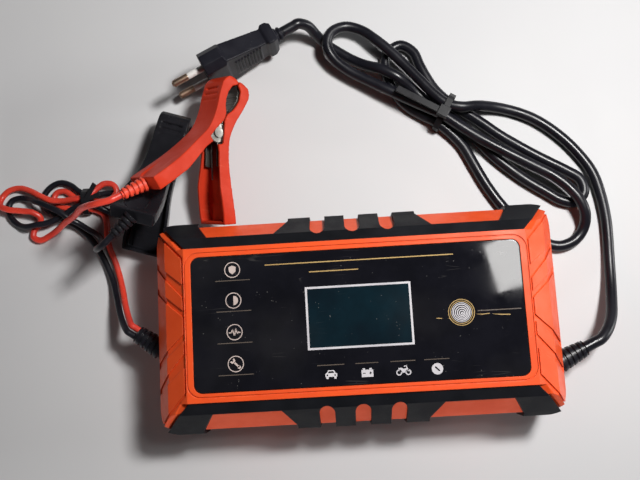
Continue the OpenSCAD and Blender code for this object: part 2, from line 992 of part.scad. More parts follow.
module pin_sleeves() {
    color([0.86, 0.86, 0.85])
        at_plug()
            for (s = [-1, 1])
                translate([plug_l + seat_gap, 0, s * pin_gap / 2])
                    rotate([0, 90, 0])
                        difference() {
                            cylinder(r = sleeve_r, h = sleeve_l - 2 * seat_gap, $fn = fine);
                            translate([0, 0, -1])
                                cylinder(r = core_r + 0.03, h = sleeve_l + 2, $fn = fine);
                        }
}

// ---------- battery clamps ----------

// A clamp lies with its rivet at the origin and along Z. Its jaws point to +X, the half that
// the lead goes into is on the +Y side, and the other half turns on the rivet.
tooth_r = 0.55;
plate_t = 0.9;
ear_r = 5.2;
ear_cut_r = 6.2;
lead_plate_z = jaw_w / 2 - cover_t - 0.15;
free_plate_z = lead_plate_z - plate_t - 0.2;
tail_turn = handle_turn + 2.5;
tail_at = handle_l * [-cos(tail_turn), sin(tail_turn)];
tail_across = [sin(handle_turn), cos(handle_turn)];
tail_h = 3.8;
kj = jaw_l / 34;
kh = handle_l / 46;

// Line along the back of a cover, from the jaw's shoulder to the handle's end
back_line = smooth([
    [28 * kj, 9.4], [20 * kj, 8.6], [10 * kj, 7], [0, 7.2], [-8 * kh, 10.4], [-22 * kh, 17.7],
    tail_at + tail_h * tail_across
], 4);
// Line of the jaw's biting edge, from the seam at the rivet to the tip
bite_line = [[11, 0.35], [16 * kj, 2.6], [20 * kj, 3.8], [24 * kj, 4.2], [29 * kj, 3], [31.2 * kj, 0.4]];
cover_side = concat(
    [[-4, 0.35]],
    bite_line,
    [[jaw_l, 0.4], [jaw_l + 0.9, 2.2], [jaw_l + 0.7, 4.6], [jaw_l - 0.6, 7], [jaw_l - 3, 8.6]],
    back_line,
    [tail_at - tail_h * tail_across, [-25 * kh, 10 * kh], [-10, 4.1]]
);
// Half widths along the clamp
width_line = smooth([
    [jaw_l + 1.3, jaw_w / 2 - 2.4], [jaw_l - 0.4, jaw_w / 2 - 0.7], [jaw_l - 3, jaw_w / 2],
    [10, jaw_w / 2], [0, jaw_w / 2], [-12, jaw_w / 2 + 0.2], [-24 * kh, handle_w / 2 - 0.9],
    [-36 * kh, handle_w / 2], [-42 * kh, handle_w / 2 - 1], [-45 * kh, handle_w / 2 - 2.6]
], 3);
// The cover's outline from above, with its sides moved inward by t
function cover_width(t) = concat(
    [for (p = width_line) p - [0, t]],
    [for (i = [len(width_line) - 1 : -1 : 0]) [width_line[i][0], t - width_line[i][1]]]
);

module cover_form(side, width) {
    intersection() {
        linear_extrude(handle_w + 4, center = true)
            polygon(side);
        rotate([90, 0, 0])
            linear_extrude(2 * handle_l, center = true)
                polygon(width);
    }
}

// Room inside a cover: open toward the other half, closed at the back and at both ends
channel_side = concat(
    [[7.5, -6], [jaw_l - 1.6, -6], [jaw_l - 1.6, 5.4], [jaw_l - 2.6, 6.4]],
    [for (i = [1 : len(back_line) - 2]) back_line[i] - cover_t * [0.25, 1]],
    [
        tail_at + [1.9, -0.4] + (tail_h - cover_t) * tail_across,
        tail_at + [1.9, -0.4] - (tail_h + 9) * tail_across,
        [-10, -6]
    ]
);

thumb_at = [-28.5 * kh, 20.9 * kh];
module clamp_cover() {
    difference() {
        cover_form(cover_side, cover_width(0));
        cover_form(channel_side, cover_width(cover_t));
        // Round opening that shows the rivet and the ears round it
        cylinder(r = ear_cut_r, h = 2 * handle_w, center = true, $fn = fine);
        // Thumb recess in the back of the handle
        translate(thumb_at)
            rotate([0, 0, -handle_turn])
                translate([0, -0.8, 0])
                    rotate([-90, 0, 0])
                        stadium(20 * kh, 11, 6);
        // Ribs on the jaw's back
        for (i = [0 : 3])
            translate([(14 + 3.6 * i) * kj, 9.3, 0])
                rotate([0, 0, -8])
                    cube([1, 3, jaw_w - 5], center = true);
    }
}

// Sheet metal inside a cover: two cheeks with ears, joined by the toothed bite
cheek_side = concat(
    [for (p = bite_line) p + [0, 0.1]],
    [[jaw_l - 1.8, 0.7], [jaw_l - 1.8, 5.1], [jaw_l - 3, 6.1]],
    [[26 * kj, 7.3], [20 * kj, 6.6], [10 * kj, 5], [0, 5.1], [-8, 7.6], [-15, 11], [-16, 7.6], [-4, 2]]
);

module jaw_metal(plate_z) {
    difference() {
        union() {
            for (s = [-1, 1])
                translate([0, 0, s > 0 ? plate_z - plate_t : -plate_z]) {
                    linear_extrude(plate_t)
                        polygon(cheek_side);
                    cylinder(r = ear_r, h = plate_t, $fn = fine);
                }
            linear_extrude(2 * plate_z - 0.2, center = true)
                polygon(concat(
                    [for (i = [0 : len(bite_line) - 1]) bite_line[i] + [0, 0.1]],
                    [for (i = [len(bite_line) - 1 : -1 : 0]) bite_line[i] + [0, 1.3]]
                ));
            // Teeth
            for (i = [1 : 3], k = [0 : 1])
                let (p = bite_line[i] * (1 - k / 2) + bite_line[i + 1] * k / 2)
                    translate([p[0], p[1] + 0.4, 0])
                        cylinder(r = tooth_r, h = 2 * plate_z - 0.4, center = true, $fn = 24);
        }
        cylinder(r = rivet_r + running_gap, h = 2 * handle_w, center = true, $fn = fine);
    }
}

module clamp_rivet() {
    cylinder(r = rivet_r, h = 2 * lead_plate_z + 1.2, center = true, $fn = fine);
    for (s = [-1, 1])
        translate([0, 0, s * (lead_plate_z + 0.4 + seat_gap)])
            cylinder(r = 2.7, h = 0.8, center = true, $fn = fine);
}

// Torsion spring: a leg in each handle and a coil round the rivet
spring_d = 1;
spring_r = 2.9;
spring_pitch = 1.6;
leg_at = [-20 * kh, 13.2];
leg_turn = 180 - atan2(leg_at[1], -leg_at[0]);
coil_start = leg_turn - acos(spring_r / norm(leg_at));
coil_sweep = 2 * coil_start + 3 * 360;
coil_steps = 27;
coil_h = spring_pitch * coil_sweep / 360;
spring_line = concat(
    [[leg_at[0], leg_at[1], coil_h / 2], [leg_at[0] / 2.6, leg_at[1] / 2.6 + 1.4, coil_h / 2]],
    [
        for (i = [0 : coil_steps])
            let (turn = coil_start - coil_sweep * i / coil_steps)
            [spring_r * cos(turn), spring_r * sin(turn), coil_h / 2 - coil_h * i / coil_steps]
    ],
    [[leg_at[0] / 2.6, -leg_at[1] / 2.6 - 1.4, -coil_h / 2], [leg_at[0], -leg_at[1], -coil_h / 2]]
);
echo(spring_turn_gap = least_gap(
    [for (i = [2 : coil_steps + 2]) spring_line[i]], 5 * spring_r, 2 * PI * spring_r * coil_sweep / 360 / coil_steps
) - spring_d);

module clamp_spring() {
    tube(spring_line, spring_d, 6, [0, 0, 1]);
}

relief_l = 13;
// Direction of a relief from the handle's end, in the clamp's own frame
function relief_way(droop, sway) = let (a = 180 - handle_turn + droop)
    [cos(sway) * cos(a), cos(sway) * sin(a), -sin(sway)];

module clamp_relief(droop, sway) {
    translate([tail_at[0], tail_at[1], 0])
        difference() {
            rotate([0, 0, 180 - handle_turn + droop])
                rotate([0, sway, 0])
                    ribbed_relief(relief_l, 3.9, 2.7, 5);
            // Flat that lies on the handle's end
            rotate([0, 0, 180 - handle_turn])
                translate([seat_gap - 10, -10, -10])
                    cube([10, 20, 20]);
        }
}

// Where the two clamps lie
red_place = [-71.9, 102.8, 29.9];
red_turns = [46.5, 7, 69];
red_bend = [-10, 17];
black_place = [-101.7, 89, 18.1];
black_turns = [94.5, 15.5, 74];
black_bend = [48, 30];

module at_red() {
    translate(red_place)
        rotate(red_turns)
            children();
}

module at_black() {
    translate(black_place)
        rotate(black_turns)
            children();
}

// The same turns, as functions of a point
function turn_x(p, a) = [p[0], p[1] * cos(a) - p[2] * sin(a), p[1] * sin(a) + p[2] * cos(a)];
function turn_y(p, a) = [p[0] * cos(a) + p[2] * sin(a), p[1], p[2] * cos(a) - p[0] * sin(a)];
function turn_z(p, a) = [p[0] * cos(a) - p[1] * sin(a), p[0] * sin(a) + p[1] * cos(a), p[2]];
function turned(p, t) = turn_z(turn_y(turn_x(p, t[0]), t[1]), t[2]);

module red_lead_handle() {
    color(clamp_red)
        at_red()
            clamp_cover();
}

module red_free_handle() {
    color(clamp_red)
        at_red()
            mirror([0, 1, 0])
                clamp_cover();
}

module red_lead_jaw() {
    color(steel)
        at_red()
            jaw_metal(lead_plate_z);
}

module red_free_jaw() {
    color(steel)
        at_red()
            mirror([0, 1, 0])
                jaw_metal(free_plate_z);
}

module red_rivet() {
    color(steel)
        at_red()
            clamp_rivet();
}

module red_spring() {
    color(steel)
        at_red()
            clamp_spring();
}

module red_relief() {
    color(clamp_red)
        at_red()
            clamp_relief(red_bend[0], red_bend[1]);
}

module black_lead_handle() {
    color(rubber_black)
        at_black()
            clamp_cover();
}

module black_free_handle() {
    color(rubber_black)
        at_black()
            mirror([0, 1, 0])
                clamp_cover();
}

module black_lead_jaw() {
    color(steel)
        at_black()
            jaw_metal(lead_plate_z);
}

module black_free_jaw() {
    color(steel)
        at_black()
            mirror([0, 1, 0])
                jaw_metal(free_plate_z);
}

module black_rivet() {
    color(steel)
        at_black()
            clamp_rivet();
}

module black_spring() {
    color(steel)
        at_black()
            clamp_spring();
}

module black_relief() {
    color(rubber_black)
        at_black()
            clamp_relief(black_bend[0], black_bend[1]);
}

// ---------- cords ----------

// A cord's own end points: its first or last stretch leaves a relief straight
function stub(at, way, d) = [for (k = [0, 0.55, 1.1, 1.65]) at + way * (seat_gap + k * d)];
// A cord's line, kept just above the table
function laid(line, d) = [for (p = line) [p[0], p[1], max(p[2], 0.54 * d + seat_gap)]];
function backwards(list) = [for (i = [len(list) - 1 : -1 : 0]) list[i]];
function relief_tip(place, turns, bend) =
    place + turned([tail_at[0], tail_at[1], 0] + relief_l * relief_way(bend[0], bend[1]), turns);
function relief_heading(turns, bend) = turned(relief_way(bend[0], bend[1]), turns);

// The mains cord's five passes through its tie, and the loops between them
ac_start = stub(ac_gland_end, [cos(ac_turn), sin(ac_turn), 0], mains_d);
plug_way = -[cos(plug_turn), sin(plug_turn), 0];
ac_finish = backwards(stub(plug_at + plug_relief_l * plug_way, plug_way, mains_d));
ac_run = [
    [130.2, -13.2, 19], [134.4, -6.5, 15], [137.2, 2, 10], [139.3, 12.5, 6], [140.5, 23, 3.9],
    [141.3, 35, 3.1], [141.5, 48, 3.1], [140, 62, 3.1], [136.8, 74.8, 3.1], [128.8, 87.8, 3.1],
    [119.3, 98.3, 3.1], [107.5, 107.5, 3.1], [95, 113.2, 3.1], [84.5, 115.6, 4.8], [75, 115.8, 8.2],
    [66.5, 115, 10.4], [58.9, 117, 10.4]
];
ac_left_long = [
    [52.2, 122.8, 10.2], [45.2, 131.2, 9.8], [37.7, 140.3, 9.7], [30, 149.2, 9.7], [22, 157.2, 9.3],
    [13.5, 164.6, 8], [4, 167.4, 8.6], [-4.3, 163.4, 10.6], [-6.9, 155.8, 10.7], [-3, 147.8, 9.2],
    [4.8, 141, 8.2], [14.5, 134.9, 8.4], [26.5, 127.6, 9.6], [37.5, 121.2, 9.8], [47, 115.9, 10.1],
    [55.3, 111.1, 10.4]
];
ac_right_front = [
    [63.5, 104.8, 10.2], [71.5, 98.9, 9.9], [80, 93.2, 9.8], [91, 86.3, 9.8], [103.5, 78.8, 9.8],
    [114, 72.2, 9.9], [121.5, 65.2, 9.9], [126.3, 58.3, 9.9], [128.9, 51, 8.3], [128.4, 43.4, 4.3],
    [123.3, 37, 3.1], [114.5, 34.2, 3.1], [105.5, 37.2, 3.1], [97.5, 44, 3.1], [90.3, 52, 3.1],
    [83.2, 61.5, 3.1], [77, 72, 3.1], [71.5, 83.5, 3.1], [66.6, 93.8, 3.1], [60.7, 101.4, 3.6],
    [53.3, 108.1, 4.4]
];
ac_left_short = [
    [45, 113.6, 3.5], [37.3, 119, 3.1], [31.3, 126, 3.1], [27.6, 134.5, 3.1], [25.6, 143.5, 3.1],
    [28, 152, 3.1], [35.3, 156.2, 3.1], [42.4, 151.6, 3.1], [45.5, 143.5, 3.1], [49, 135.6, 3.1],
    [53.6, 127.5, 3.6], [60.5, 119.8, 4.4]
];
ac_right_rear = [
    [69.3, 113.7, 3.3], [78.3, 106.8, 3.1], [87, 99.6, 3.1], [96, 93.2, 3.1], [105, 87.2, 3.1],
    [114.6, 81.3, 3.1], [123.4, 76, 3.1], [129.8, 71, 3.1], [131, 63.6, 3.1], [126, 58.4, 3.1],
    [118.4, 59.7, 3.1], [110, 65.2, 3.1], [100, 72.2, 3.1], [90.5, 80.2, 3.1], [82.2, 88.3, 3.1],
    [75.8, 96, 3.1], [70.3, 102.8, 3.1], [63.6, 108.7, 3.7], [57, 114.1, 4.4]
];
ac_to_plug = [
    [50.3, 119.4, 3.7], [44.3, 125.2, 3.5], [38.5, 130.3, 6], [31.5, 135.3, 9.6], [23, 140.4, 9.4],
    [13.5, 145.4, 5], [5, 150.6, 3.2], [-2.5, 155.9, 3.1], [-8.2, 160.2, 3.7], [-12.8, 164, 8.2],
    [-17.3, 167, 14]
];
ac_line = laid(spaced(smooth(concat(
    ac_start, ac_run, ac_left_long, ac_right_front, ac_left_short, ac_right_rear, ac_to_plug, ac_finish
), 6), mains_d * 0.83), mains_d);
echo(mains_cord_length = lengths(ac_line)[len(ac_line) - 1]);
echo(mains_cord_least_gap = least_gap(ac_line, 3.4 * mains_d, mains_d * 0.83) - mains_d);

module ac_cord() {
    color(rubber_black)
        tube(ac_line, mains_d, 8);
}

// The two battery leads leave their gland side by side
dc_way = [-cos(dc_turn), sin(dc_turn), 0];
twin_side = [sin(dc_turn), cos(dc_turn), 0];
twin_gap = 1.95;
red_start = stub(dc_gland_end + twin_gap * twin_side, dc_way, lead_d);
black_start = stub(dc_gland_end - twin_gap * twin_side, dc_way, lead_d);
red_finish = backwards(stub(
    relief_tip(red_place, red_turns, red_bend), relief_heading(red_turns, red_bend), lead_d
));
black_finish = backwards(stub(
    relief_tip(black_place, black_turns, black_bend), relief_heading(black_turns, black_bend), lead_d
));
red_route = [
    [-121.6, 7.2, 16.8], [-124.7, 14.3, 11.6], [-127.2, 22, 6.6], [-129.7, 30.3, 3.2],
    [-132.6, 39.5, 1.9], [-135.8, 48.3, 1.9], [-137.2, 55.5, 1.9], [-137.3, 62, 1.9],
    [-138.8, 67.6, 1.9], [-143, 70.4, 2.4], [-148, 71.1, 2.9], [-153.5, 71.3, 2.3],
    [-159, 72.4, 1.9], [-164.2, 74.2, 1.9], [-167.3, 77.8, 1.9], [-165.8, 81.7, 1.9],
    [-161, 82.4, 1.9], [-156.2, 79, 2.1], [-152.6, 76.2, 2.6], [-148, 75.3, 2.9],
    [-143.3, 75.2, 3], [-138, 74.9, 4.4], [-133.2, 75.8, 5.8], [-130.3, 79.5, 5.9],
    [-132.2, 83.6, 5.9], [-137, 84.6, 5.9], [-141.6, 81.8, 6.2], [-144.9, 78.6, 6.9],
    [-148.6, 77.2, 7], [-154.5, 76.6, 6.6], [-161, 76.1, 5.9], [-167.5, 76.8, 5.9],
    [-174, 79.9, 5.9], [-180.5, 83.6, 4.2], [-187, 85.7, 2.8], [-193, 84.6, 2.4],
    [-197, 80.6, 2.6], [-197.2, 75.9, 4.7], [-192, 73, 6.1], [-185, 71.9, 5.9],
    [-178.5, 70.6, 5.8], [-174.6, 67.9, 4], [-175.3, 64.2, 2], [-178.4, 61.2, 1.9],
    [-179.1, 57.2, 1.9], [-175.2, 55.1, 1.9], [-168.6, 57.8, 2.6], [-163.2, 60.2, 6],
    [-158.4, 62.2, 10.6], [-153.5, 63.4, 15.6], [-149, 63.6, 22], [-145, 63.4, 29.5],
    [-141, 63, 38], [-136.7, 62.5, 46.5], [-131.3, 62, 54], [-124.8, 62, 58.6]
];
black_route = [
    [-124.7, 4.6, 16.6], [-128.2, 12.3, 11.6], [-131, 20.2, 6.6], [-133.7, 28.9, 3.2],
    [-137.5, 38.5, 1.9], [-141.9, 47.3, 1.9], [-147.6, 55.5, 1.9], [-154.5, 61.7, 1.9],
    [-161.5, 66, 1.9], [-168, 70, 1.9], [-172.4, 74.4, 1.9], [-173.2, 79.8, 1.9],
    [-169.4, 85.2, 1.9], [-163.5, 87.6, 1.9], [-157.8, 85.8, 1.9], [-153.1, 82, 2.2],
    [-148, 79.4, 2.9], [-142, 79.3, 2.4], [-135, 80, 1.9], [-128.5, 79.4, 1.9],
    [-124.3, 75.6, 1.9], [-124.8, 70.7, 1.9], [-129, 67.8, 1.9], [-134.2, 68.2, 3.8],
    [-138.7, 70.4, 5.9], [-143, 72.6, 6.5], [-148, 73.3, 7], [-153.5, 72, 6.3],
    [-158.8, 69, 5.9], [-164.2, 66, 5.9], [-170, 63.9, 6.3], [-176, 63.2, 6.5],
    [-182, 62.8, 4.6], [-187.5, 64.6, 1.9], [-191.8, 68.8, 1.9], [-193.4, 74, 1.9],
    [-191.8, 78.5, 1.9], [-187, 80, 2], [-181.4, 78.7, 3.4], [-175, 76, 8],
    [-168.5, 72.9, 9.9], [-161.5, 69.2, 9.9], [-156.5, 65.3, 8.6], [-152, 62.6, 6],
    [-146.5, 58.8, 5.9], [-141, 55.2, 7.5], [-137, 51.4, 12.5], [-134.5, 47.6, 21], [-133, 44.4, 31],
    [-131, 42, 41], [-127, 41.5, 49]
];
red_line = laid(spaced(smooth(concat(red_start, red_route, red_finish), 6), lead_d), lead_d);
black_line = laid(spaced(smooth(concat(black_start, black_route, black_finish), 6), lead_d), lead_d);
echo(red_lead_length = lengths(red_line)[len(red_line) - 1]);
echo(red_lead_least_gap = least_gap(red_line, 3.4 * lead_d, lead_d) - lead_d);
echo(black_lead_length = lengths(black_line)[len(black_line) - 1]);
echo(black_lead_least_gap = least_gap(black_line, 3.4 * lead_d, lead_d) - lead_d);
echo(lead_to_lead_gap = min([for (p = red_line, q = black_line) norm(p - q)]) - lead_d);

module red_lead() {
    color(clamp_red)
        tube(red_line, lead_d, 8);
}

module black_lead() {
    color(rubber_black)
        tube(black_line, lead_d, 8);
}

// A flat band round a bundle: its outline follows the cords that it holds
module band(at, turn, outline, thick, width) {
    translate(at)
        rotate([0, 0, turn])
            rotate([90, 0, 90])
                linear_extrude(width, center = true)
                    difference() {
                        polygon(inset(outline, -thick));
                        polygon(outline);
                    }
}

tie_turn = -31.6;
tie_t = 1;
tie_w = 3.6;
bundle_r = mains_d / 2 + 0.35;
module cord_tie() {
    low = 4.4;
    top = 10.4;
    wide = 6.95;
    color([0.13, 0.13, 0.14]) {
        band([57, 114, 0], tie_turn, [
            [-wide - bundle_r * 0.5, low - bundle_r], [wide + bundle_r * 0.5, low - bundle_r],
            [wide + bundle_r, low - bundle_r * 0.5], [wide + bundle_r, low + bundle_r * 0.8],
            [wide / 2 + bundle_r, top + bundle_r * 0.6], [wide / 2 + bundle_r * 0.5, top + bundle_r],
            [-wide / 2 - bundle_r * 0.5, top + bundle_r], [-wide / 2 - bundle_r, top + bundle_r * 0.6],
            [-wide - bundle_r, low + bundle_r * 0.8], [-wide - bundle_r, low - bundle_r * 0.5]
        ], tie_t, tie_w);
        // Head of the tie and the strip that sticks out of it
        translate([57, 114, top + bundle_r + tie_t - 0.1])
            rotate([0, 0, tie_turn])
                translate([0, -3.6, 0]) {
                    translate([-3, -3, 0])
                        cube([6, 6, 4]);
                    translate([-29, -1.8, 1.2])
                        cube([27, 3.6, 1.1]);
                }
    }
}

twist_t = 0.8;
twist_w = 3.2;
wire_r = lead_d / 2 + 0.35;
module lead_tie() {
    low = 2.9;
    top = 7;
    color([0.1, 0.1, 0.11]) {
        band([-148, 75.25, 0], 0, [
            [-4.4 - wire_r * 0.5, low - wire_r], [4.6 + wire_r * 0.5, low - wire_r],
            [4.6 + wire_r, low - wire_r * 0.5], [4.6 + wire_r, low + wire_r * 0.8],
            [2 + wire_r, top + wire_r * 0.6], [2 + wire_r * 0.5, top + wire_r],
            [-2 - wire_r * 0.5, top + wire_r], [-2 - wire_r, top + wire_r * 0.6],
            [-4.4 - wire_r, low + wire_r * 0.8], [-4.4 - wire_r, low - wire_r * 0.5]
        ], twist_t, twist_w);
        // The two twisted ends
        for (s = [-1, 1])
            translate([-148 + s, 74, top + wire_r + twist_t - 0.1])
                rotate([0, -14 - 4 * s, 35 + 18 * s])
                    translate([0, -1.2, 0])
                        cube([12, 2.4, 0.9]);
    }
}

upper_shell();
lower_shell();
front_bumper();
rear_bumper();
panel_glass();
lcd_module();
touch_pad();
display_board();
main_board();
transformer_core();
transformer_coil();
bulk_capacitor();
output_capacitors();
heatsink();
power_transistors();
fuse();
filter_choke();
terminal_blocks();
fan_frame();
fan_rotor();
fan_screws();
case_screws();
board_screws();
feet();
ac_gland();
dc_gland();
ac_cord();
cord_tie();
plug_body();
plug_pins();
pin_sleeves();
red_lead();
black_lead();
lead_tie();
red_lead_handle();
red_free_handle();
red_lead_jaw();
red_free_jaw();
red_rivet();
red_spring();
red_relief();
black_lead_handle();
black_free_handle();
black_lead_jaw();
black_free_jaw();
black_rivet();
black_spring();
black_relief();
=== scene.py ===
# %% [markdown]
# # A car battery charger
# The charger is a plastic case with rubber bumpers, a glossy panel, a mains cord in a hank, and two
# leads that end in spring clamps. The exact solids come in as a fixed frame. This lesson gives them
# finishes and softer edges, draws the cords and springs anew as smooth curves, and adds the print.
# Everything is in metres, in the frame's own place, so nothing has to be fitted.

import json
import math
from functools import partial

import bmesh
import bpy
from mathutils import Matrix, Vector


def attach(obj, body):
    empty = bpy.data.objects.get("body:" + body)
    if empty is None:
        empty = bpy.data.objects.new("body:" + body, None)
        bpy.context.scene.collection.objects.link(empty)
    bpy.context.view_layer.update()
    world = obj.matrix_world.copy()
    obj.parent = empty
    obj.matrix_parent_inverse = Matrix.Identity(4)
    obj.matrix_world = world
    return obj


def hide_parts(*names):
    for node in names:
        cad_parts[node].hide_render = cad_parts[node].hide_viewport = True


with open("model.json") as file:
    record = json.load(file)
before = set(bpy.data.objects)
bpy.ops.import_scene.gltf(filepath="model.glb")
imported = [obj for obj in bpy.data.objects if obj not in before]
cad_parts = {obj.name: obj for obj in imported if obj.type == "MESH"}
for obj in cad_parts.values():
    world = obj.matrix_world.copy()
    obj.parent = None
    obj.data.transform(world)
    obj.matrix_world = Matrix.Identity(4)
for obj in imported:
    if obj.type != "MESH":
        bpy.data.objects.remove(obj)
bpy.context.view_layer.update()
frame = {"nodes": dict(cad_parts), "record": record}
nodes = frame["nodes"]
MM = 0.001

# %% [markdown]
# ## Camera
# The camera comes first, because every later choice is judged through it. It looks almost straight
# down from 0.42 m. A matrix with its own three axes as columns sets where it points, which is plainer
# than Euler angles for a view that was worked out beforehand.

# %% Camera
camera_data = bpy.data.cameras.new("camera")
camera_data.sensor_width = 36
camera_data.lens = 42.75
camera_data.clip_start = 0.01
camera = bpy.data.objects.new("camera", camera_data)
camera_right = (0.998012, -0.055989, -0.028922)
camera_up = (0.059632, 0.987465, 0.146140)
camera_back = (0.020377, -0.147575, 0.988841)
camera.matrix_world = Matrix((
    (camera_right[0], camera_up[0], camera_back[0], -8.645 * MM),
    (camera_right[1], camera_up[1], camera_back[1], -17.037 * MM),
    (camera_right[2], camera_up[2], camera_back[2], 422.53 * MM),
    (0, 0, 0, 1),
))
bpy.context.scene.collection.objects.link(camera)
bpy.context.scene.camera = camera
bpy.context.scene.view_settings.view_transform = "Standard"
print("camera", round(camera.location.z, 3), "m above the table")

# %% [markdown]
# ## Cords
# A cord is one open curve with a round bevel. A curve keeps its centreline, so its real length can be
# measured, and its roundness costs nothing to change. The bevel is one metre deep and the points'
# radius scales it down, because Blender counts that radius into the curve's own box. The points are the
# route's own, in millimetres, and a Catmull-Rom curve runs smoothly through all of them. It is the
# centripetal kind, which doesn't kink where a short step meets a long one.


# %% A smooth line through a route's points
def smooth_line(route, steps=6):
    points = [Vector(p) for p in route]
    points = [2 * points[0] - points[1]] + points + [2 * points[-1] - points[-2]]
    line = []
    for i in range(1, len(points) - 2):
        a, b, c, d = points[i - 1 : i + 3]
        ab, bc, cd = (math.sqrt((q - p).length) for p, q in ((a, b), (b, c), (c, d)))
        leave = ((b - a) / ab - (c - a) / (ab + bc) + (c - b) / bc) * bc
        reach = ((c - b) / bc - (d - b) / (bc + cd) + (d - c) / cd) * bc
        for k in range(steps):
            t = k / steps
            bend = 3 * (c - b) - 2 * leave - reach
            line.append(b + leave * t + bend * t * t + (2 * (b - c) + leave + reach) * t * t * t)
    return line + [points[-2]]


def round_cord(name, line, diameter, resolution=6):
    """One open spline, in metres, from a line in millimetres."""
    curve = bpy.data.curves.new(name, "CURVE")
    curve.dimensions = "3D"
    curve.bevel_depth = 1
    curve.bevel_resolution = resolution
    curve.use_fill_caps = True
    spline = curve.splines.new("POLY")
    spline.points.add(len(line) - 1)
    for point, place in zip(spline.points, line):
        point.co = (*(place * MM), 1)
        point.radius = diameter / 2 * MM
    spline.use_smooth = True
    piece = bpy.data.objects.new(name, curve)
    bpy.context.scene.collection.objects.link(piece)
    return piece


def line_length(line):
    return sum((b - a).length for a, b in zip(line, line[1:]))


# %% [markdown]
# A cord leaves its relief straight for about one and a half diameters. The same short stub is laid at
# both ends, so the cord meets each relief square.


# %% Straight ends
def stub(place, way, diameter):
    return [Vector(place) + Vector(way) * (0.05 + k * diameter) for k in (0, 0.55, 1.1, 1.65)]


def turned(point, turns):
    """A point turned about X, then Y, then Z, by degrees."""
    x, y, z = (math.radians(a) for a in turns)
    spin = Matrix.Rotation(z, 3, "Z") @ Matrix.Rotation(y, 3, "Y") @ Matrix.Rotation(x, 3, "X")
    return spin @ Vector(point)


def heading(degrees):
    return Vector((math.cos(math.radians(degrees)), math.sin(math.radians(degrees)), 0))


def keep_above_table(line, diameter):
    return [Vector((p.x, p.y, max(p.z, 0.54 * diameter + 0.05))) for p in line]


# %% [markdown]
# ### Mains cord
# The mains cord passes five times through its tie in loops of unequal length, as a cord does that was
# folded by hand, and it ends in the plug.

# %% Mains cord's route
mains_d = 6
ac_gland_end = Vector((103.5, -28, 21.2)) + 14.5 * heading(25)
plug_at = Vector((-36, 160.3, 17.75))
plug_way = -heading(206.4)
ac_start = stub(ac_gland_end, heading(25), mains_d)
ac_finish = stub(plug_at + 5 * plug_way, plug_way, mains_d)[::-1]
ac_run = [
    (130.2, -13.2, 19), (134.4, -6.5, 15), (137.2, 2, 10), (139.3, 12.5, 6), (140.5, 23, 3.9),
    (141.3, 35, 3.1), (141.5, 48, 3.1), (140, 62, 3.1), (136.8, 74.8, 3.1), (128.8, 87.8, 3.1),
    (119.3, 98.3, 3.1), (107.5, 107.5, 3.1), (95, 113.2, 3.1), (84.5, 115.6, 4.8), (75, 115.8, 8.2),
    (66.5, 115, 10.4), (58.9, 117, 10.4),
]
ac_left_long = [
    (52.2, 122.8, 10.2), (45.2, 131.2, 9.8), (37.7, 140.3, 9.7), (30, 149.2, 9.7), (22, 157.2, 9.3),
    (13.5, 164.6, 8), (4, 167.4, 8.6), (-4.3, 163.4, 10.6), (-6.9, 155.8, 10.7), (-3, 147.8, 9.2),
    (4.8, 141, 8.2), (14.5, 134.9, 8.4), (26.5, 127.6, 9.6), (37.5, 121.2, 9.8), (47, 115.9, 10.1),
    (55.3, 111.1, 10.4),
]
ac_right_front = [
    (63.5, 104.8, 10.2), (71.5, 98.9, 9.9), (80, 93.2, 9.8), (91, 86.3, 9.8), (103.5, 78.8, 9.8),
    (114, 72.2, 9.9), (121.5, 65.2, 9.9), (126.3, 58.3, 9.9), (128.9, 51, 8.3), (128.4, 43.4, 4.3),
    (123.3, 37, 3.1), (114.5, 34.2, 3.1), (105.5, 37.2, 3.1), (97.5, 44, 3.1), (90.3, 52, 3.1),
    (83.2, 61.5, 3.1), (77, 72, 3.1), (71.5, 83.5, 3.1), (66.6, 93.8, 3.1), (60.7, 101.4, 3.6),
    (53.3, 108.1, 4.4),
]
ac_left_short = [
    (45, 113.6, 3.5), (37.3, 119, 3.1), (31.3, 126, 3.1), (27.6, 134.5, 3.1), (25.6, 143.5, 3.1),
    (28, 152, 3.1), (35.3, 156.2, 3.1), (42.4, 151.6, 3.1), (45.5, 143.5, 3.1), (49, 135.6, 3.1),
    (53.6, 127.5, 3.6), (60.5, 119.8, 4.4),
]
ac_right_rear = [
    (69.3, 113.7, 3.3), (78.3, 106.8, 3.1), (87, 99.6, 3.1), (96, 93.2, 3.1), (105, 87.2, 3.1),
    (114.6, 81.3, 3.1), (123.4, 76, 3.1), (129.8, 71, 3.1), (131, 63.6, 3.1), (126, 58.4, 3.1),
    (118.4, 59.7, 3.1), (110, 65.2, 3.1), (100, 72.2, 3.1), (90.5, 80.2, 3.1), (82.2, 88.3, 3.1),
    (75.8, 96, 3.1), (70.3, 102.8, 3.1), (63.6, 108.7, 3.7), (57, 114.1, 4.4),
]
ac_to_plug = [
    (50.3, 119.4, 3.7), (44.3, 125.2, 3.5), (38.5, 130.3, 6), (31.5, 135.3, 9.6), (23, 140.4, 9.4),
    (13.5, 145.4, 5), (5, 150.6, 3.2), (-2.5, 155.9, 3.1), (-8.2, 160.2, 3.7), (-12.8, 164, 8.2),
    (-17.3, 167, 14),
]
ac_line = keep_above_table(smooth_line(
    ac_start + ac_run + ac_left_long + ac_right_front + ac_left_short + ac_right_rear
    + ac_to_plug + ac_finish
), mains_d)
print("mains cord, mm:", round(line_length(ac_line), 1))

# %% Mains cord
mains_cord = round_cord("mains_cord", ac_line, mains_d)
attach(mains_cord, "charger")
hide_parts("ac_cord")

# %% [markdown]
# ### Battery leads
# The two thin leads leave one relief side by side, are folded into a small bundle with a wire tie, and
# rise to their clamps. Their last straight stretch points out of the clamp's own relief, so it is
# worked out from how each clamp lies.

